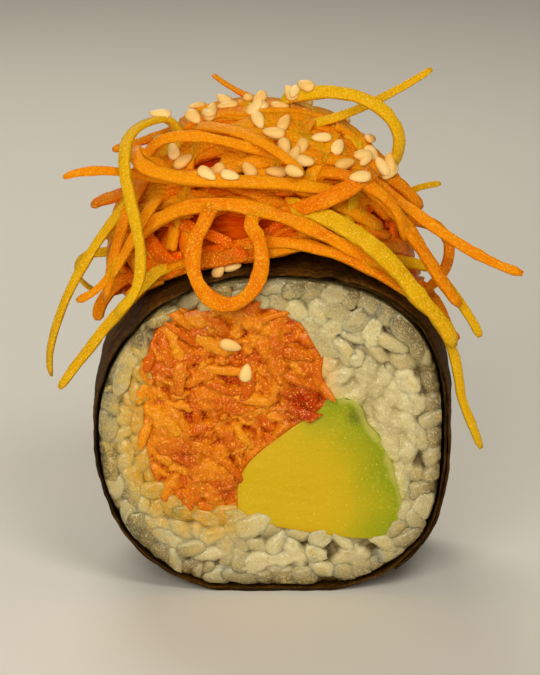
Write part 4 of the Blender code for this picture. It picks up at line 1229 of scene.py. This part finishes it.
def makeStrands():
    # the named strands, the loop, and the ones laid at random, as one piece for each root
    random = np.random.RandomState(11)
    paths, widths, tones = [], [], []

    def lay(path, width, tone):
        paths.append(path)
        widths.append(width)
        tones.append(tone)

    for name, (*_, width, tone) in strands.items():
        lay(namedPath(name), width, tone)
    lay(loopPath(), loop["width"], loop["tone"])
    half = heap["fillerWidth"] / 2
    for _ in range(heap["fillers"]):
        path = overLip(clearOfRoll(overHeap(random, fillerArcs), half), half)
        tone = 0.3 + 0.5 * ((len(paths) + 1) * 0.618 % 1)   # neighbours come out far apart in colour
        lay(path, heap["fillerWidth"] * random.uniform(0.8, 1.15), tone)
    placed = len(paths)
    for look in [extraArcs] * heap["extras"] + [shortArcs] * heap["shorts"]:
        width = random.uniform(*look["width"])
        path = overLip(clearOfRoll(overHeap(random, look), width / 2), width / 2)
        lay(path, width, random.uniform(*look["tone"]))
    widths, tones, count, named = np.array(widths), np.array(tones), len(paths), len(strands)
    # higher strands are yellower, and those that show through and beside the loop are a deeper orange
    height = np.array([path[:, 2].mean() for path in paths])
    orange = (np.arange(count) >= placed) & (tones < 0.88)
    tones[orange] = np.clip(tones[orange] + np.clip((height[orange] - 52) / 22, -0.15, 0.3), 0.1, 0.77)
    fromLoop = [np.linalg.norm(seen(path - loop["centre"]), axis=1) for path in paths]
    nearest = np.array([far[path[:, 1] < -2].min(initial=99) for far, path in zip(fromLoop, paths)])
    tones[named + 1:] *= np.clip((nearest[named + 1:] - 1.0) / 5.0, 0.1, 1)
    flatness = [random.uniform(0.45, 0.7, placed), random.uniform(0.4, 0.65, count - placed)]
    flatness = np.concatenate(flatness)
    start = random.uniform(-0.3, 0.3, count)
    spin = random.normal(0, 1.0, count) * np.where(np.arange(count) < placed, 0.35, 1.0)
    twist = np.stack([start, spin], axis=1)
    tips = np.where(np.arange(count) < named, 0.72, 0.9)
    tips[named], flatness[named], twist[named] = 1.0, 0.9, 0.0
    facing = np.where(np.arange(count) < named, 1.4, 0.4)
    rings, fibre, shadeGlow = strandRings(paths, widths, flatness, twist, tips, facing)
    pieces = []
    for name, chosen in (("carrotShreds", tones < 0.78), ("yellowShreds", tones >= 0.78)):
        part = rings[chosen]
        tone = np.repeat(tones[chosen], part.shape[1] * part.shape[2])
        marks = {"fibre": fibre[chosen], "tone": tone, "shadeGlow": shadeGlow[chosen]}
        pieces.append(addPiece(name, part, tubeFaces(part), **marks))
    return pieces, random


def heapCore():
    # a lumpy dome, centre + radii * direction, closed below by a surface that follows the roll's own top
    rows, columns, below = heap["coreRows"], heap["coreColumns"], heap["coreBelow"]
    lift = np.linspace(math.pi / 2 * 0.998, -0.38, rows)[:, None]
    turn = np.arange(columns)[None] * 2 * math.pi / columns
    level = np.cos(lift)
    way = np.stack(np.broadcast_arrays(level * np.cos(turn), level * np.sin(turn), np.sin(lift)), axis=-1)
    grown = 0.91 + 0.03 * waves(way, 0.7, 51, 3)
    dome = heap["centre"] + heap["radii"] * way * grown[..., None]
    share = np.linspace(0.96, 0.02, below)[:, None, None]
    middle = dome[-1].mean(axis=0)
    points = np.concatenate([dome, middle + (dome[-1:] - middle) * share])
    around = np.linspace(math.pi, 0, 300)
    clear = rollRadius(around, 2 * roll["gap"] + 2 * roll["sheet"] + roll["barrel"])
    top = np.interp(points[..., 0], clear * np.cos(around), clear * np.sin(around)) + rollMiddle
    points[..., 2] = np.maximum(points[..., 2], top)
    points[rows:, :, 2] = top[rows:]
    points = overLip(points, 1.0)[:, ::-1]
    return addPiece("heapCore", points, tubeFaces(points))


def rootFinish(name, shades):
    # shredded root: colour from each strand's own tone, fibres drawn out along its length, a painted red glow
    # where the heap is in shade, and small dots of painted wet highlights
    look = Finish(name, shades["deep"], (0.35, 0.8, (1.0, 0.3, 0.05)), IOR=1.42, Specular_IOR_Level=0.1,
                  Specular_Tint=(1.0, 0.75, 0.35), Coat_Roughness=0.05, Coat_IOR=1.36)
    threads = look.noiseOn(look.attribute("fibre", "Vector"), 2.6, 4.0, 0.6)
    cloud = look.noise(3.0, 3.0, 0.6)
    fine = look.noise(0.34, 3.0, 0.7)
    blend = look.attribute("tone") + (cloud - 0.5) * 0.9 + (threads - 0.5) * 0.5 + (fine - 0.5) * 0.5
    look.lay(blend.step(0.05, 0.5), shades["orange"])
    look.lay(blend.step(0.5, 0.95), shades["amber"])
    # painted glow: bright red deep in the heap and under the strands, where shade falls
    look.lay(look.attribute("shadeGlow") * 0.85, shades["inside"])
    # painted wet highlights
    look.speckle(0.25, 0.72, shades["wetGlint"], 0.54)
    return look.done(threads * 0.5 + fine, 0.28, Roughness=0.16 + 0.22 * threads, Coat_Weight=0.05)


def coreFinish():
    look = Finish("heapInShade", carrot["core"], Roughness=0.9, Specular_IOR_Level=0.0)
    layers = look.noise(1.5, 3.0, 0.55, (4.0, 1.0, 0.6))
    look.lay(layers.step(0.38, 0.6), carrot["deep"])
    return look.done(layers, 1.2)


(carrotShreds, yellowShreds), heapRandom = makeStrands()
core = heapCore()
dress(carrotShreds, rootFinish("shreddedCarrot", carrot), "carrot", "carrot_heap")
dress(yellowShreds, rootFinish("shreddedYellowRoot", yellowRoot), "carrot")
dress(core, coreFinish(), "carrot")
print("heap done, strands:", len(strands) + 1 + heap["fillers"] + heap["extras"] + heap["shorts"])


# Sesame

sesame = {
    "size": (3.1, 1.8, 1.1),    # length, width and depth
    "sizes": (0.84, 1.04),
    "shape": {"sides": 12, "rings": np.array([-0.93, -0.7, -0.35, 0.1, 0.5, 0.8, 0.95]), "point": 0.28,
              "bend": 0.0, "uneven": 0.03, "ripple": 4.5, "blunt": 2.1, "seed": 7},
    # seeds that show, as across and up in the picture's plane
    "seen": [(-15.0, 65.9), (-11.6, 67.6), (-10.5, 65.8), (-8.1, 66.4), (-6.3, 68.2), (-9.5, 68.0),
             (-3.8, 70.2), (-2.5, 69.4), (-1.5, 68.2), (-2.0, 66.9), (5.0, 70.0), (2.9, 69.1),
             (-1.6, 65.1), (1.9, 64.7), (0.5, 63.3), (7.2, 67.5), (7.0, 62.7), (4.3, 61.4),
             (1.9, 61.3), (3.2, 60.3), (4.7, 59.4), (-13.2, 60.9), (-11.8, 59.5), (-8.5, 57.5),
             (-5.4, 57.3), (-7.2, 58.1), (-2.8, 58.2), (0.8, 57.9), (3.4, 58.0), (10.2, 59.1),
             (12.2, 57.2), (9.2, 61.5), (12.7, 60.4), (13.1, 59.9), (14.0, 60.7), (15.4, 58.9),
             (16.4, 58.2), (16.6, 59.4)],
    "scattered": 26,
    # place across and up, or across and back, and the way that each seed points, in degrees
    "onFace": [(-5.4, 35.8, -18), (-3.3, 31.9, 80)],
    "onNori": [(-6.9, -11.6, 60), (-5.1, -11.2, 8)],
    "pale": colour(244, 208, 134),
    "toasted": colour(232, 180, 90),
    "tip": colour(196, 132, 56),
}


def surfaceOf(*pieces):
    # one search tree over several pieces, in metres
    points, faces = [], []
    for piece in pieces:
        start = len(points)
        points += [v.co.copy() for v in piece.data.vertices]
        faces += [[start + i for i in p.vertices] for p in piece.data.polygons]
    return BVHTree.FromPolygons(points, faces)


def sesameSeeds():
    # flat teardrops dropped on the heap, those that show along the line of sight, the rest from above
    look = np.array([0.0, math.cos(tilt), -math.sin(tilt)])
    up = np.array([0.0, math.sin(tilt), math.cos(tilt)])
    shots = [(np.array([x, -face, 0.0]) + up * z - look * 60, look) for x, z in sesame["seen"]]
    for _ in range(sesame["scattered"]):
        place = np.array([heapRandom.uniform(-0.75, 0.75), heapRandom.uniform(-0.2, 0.95), 2.0])
        shots.append((heap["centre"] + heap["radii"] * place, np.array([0.0, 0.0, -1.0])))
    surface, wrapper = surfaceOf(carrotShreds, yellowShreds, core), surfaceOf(noriSheet)
    seeds = []                  # centre, the way it points and the way its broad side faces
    for start, way in shots:
        hit, normal, _, _ = surface.ray_cast(Vector(start * mm), Vector(way))
        if hit is not None:
            normal = unit(0.6 * np.array(normal) - 0.7 * way + (0, 0, 0.3))
            along = np.cross(normal, unit(heapRandom.normal(size=3)))
            seeds.append((np.array(hit) / mm + normal * 0.35, along, normal))
    for x, y, heading in sesame["onNori"]:
        hit, normal, _, _ = wrapper.ray_cast(Vector((x * mm, y * mm, 0.1)), Vector((0, 0, -1)))
        along = (math.cos(math.radians(heading)), -0.2, math.sin(math.radians(heading)))
        seeds.append((np.array(hit) / mm + np.array(normal) * 0.7, along, np.array(normal) + (0, -1.2, 0)))
    for x, z, heading in sesame["onFace"]:
        along = (math.cos(math.radians(heading)), 0.1, math.sin(math.radians(heading)))
        seeds.append(((x, -face - 0.1, z), along, (0.0, -1.0, 0.0)))
    centres, alongs, normals = (np.array(each, float) for each in zip(*seeds))
    count, shape = len(seeds), sesame["shape"]
    radii = np.array(sesame["size"]) / 2 * np.random.RandomState(61).uniform(*sesame["sizes"], (count, 3))
    points, faces = ovoids(centres, framed(alongs, normals), radii, **shape)
    tip = np.tile(np.concatenate([[-1.0], np.repeat(shape["rings"], shape["sides"]), [1.0]]), count)
    tone = np.repeat(np.random.RandomState(62).uniform(0, 1, count), points.shape[1])
    return addPiece("sesameSeeds", points, faces, tip=tip, tone=tone)


def sesameFinish():
    look = Finish("toastedSesame", sesame["pale"], (0.1, 0.5, (1.0, 0.2, 0.1)), IOR=1.45,
                  Specular_IOR_Level=0.35)
    cloud = look.noise(1.2, 3.0, 0.6)
    fine = look.noise(0.22, 2.0, 0.5)
    look.lay((look.attribute("tone") * 0.7 + cloud * 0.5).step(0.3, 1.0), sesame["toasted"])
    look.lay(look.attribute("tip").step(0.7, 1.0) * 0.35, sesame["tip"])
    return look.done(fine * 0.5 + cloud * 0.3, 0.08, Roughness=0.34 + 0.15 * fine)


dress(sesameSeeds(), sesameFinish(), "carrot")
print("sesame done")


# Floor, light and camera

stage = {
    "floor": colour(222, 220, 214),
    "floorHalf": 1500.0,
    "world": 0.16,
    "warmth": (1.0, 0.93, 0.8),
    # each light's place and the place that it points at, in metres, its size and its power
    "lights": {
        "keyLight": ((0.13, -0.32, 0.40), (0, 0, 0.035), 0.18, 0.8),
        "fillLight": ((-0.12, -0.48, 0.24), (0, 0, 0.035), 0.34, 1.8),
        "backLight": ((-0.10, 0.32, 0.36), (0, 0, 0.05), 0.25, 0.85),
    },
}
view = {
    "distance": 450.0,
    "sensor": 36.0,
    "pixel": 0.14,              # millimetres at the cut face
    "frameHeight": 675,
    "basePixel": 591,           # the row of the picture where the roll meets the floor
}


def addObject(name, data):
    made = bpy.data.objects.new(name, data)
    bpy.context.scene.collection.objects.link(made)
    return made


corners = np.array([(-1, -1, 0), (1, -1, 0), (1, 1, 0), (-1, 1, 0)]) * stage["floorHalf"]
floor = addPiece("floor", corners, [(0, 1, 2, 3)])
floor.data.materials.append(Finish("paleFloor", stage["floor"], Roughness=0.7).material)
world = bpy.data.worlds.new("studio")
world.use_nodes = True
background = world.node_tree.nodes["Background"]
background.inputs["Color"].default_value = (*stage["warmth"], 1)
background.inputs["Strength"].default_value = stage["world"]
bpy.context.scene.world = world
for name, (place, target, size, power) in stage["lights"].items():
    lamp = bpy.data.lights.new(name, "AREA")
    lamp.shape, lamp.size, lamp.energy, lamp.color = "DISK", size, power, stage["warmth"]
    holder = addObject(name, lamp)
    holder.location = place
    holder.rotation_euler = (Vector(target) - Vector(place)).to_track_quat("-Z", "Y").to_euler()

sight = Vector((0, math.cos(tilt), -math.sin(tilt)))
upward = Vector((0, math.sin(tilt), math.cos(tilt)))
centreAbove = (view["basePixel"] - view["frameHeight"] / 2) * view["pixel"]
eye = Vector((0, -face * mm, 0)) + upward * centreAbove * mm - sight * view["distance"] * mm
cameraData = bpy.data.cameras.new("camera")
cameraData.sensor_fit, cameraData.sensor_height = "VERTICAL", view["sensor"]
cameraData.lens = view["sensor"] * view["distance"] / (view["frameHeight"] * view["pixel"])
cameraData.clip_start = 0.01
camera = addObject("camera", cameraData)
camera.matrix_world = Matrix.Translation(eye) @ sight.to_track_quat("-Z", "Y").to_matrix().to_4x4()
bpy.context.scene.camera = camera
bpy.context.scene.view_settings.view_transform = "Standard"

print("stage done")
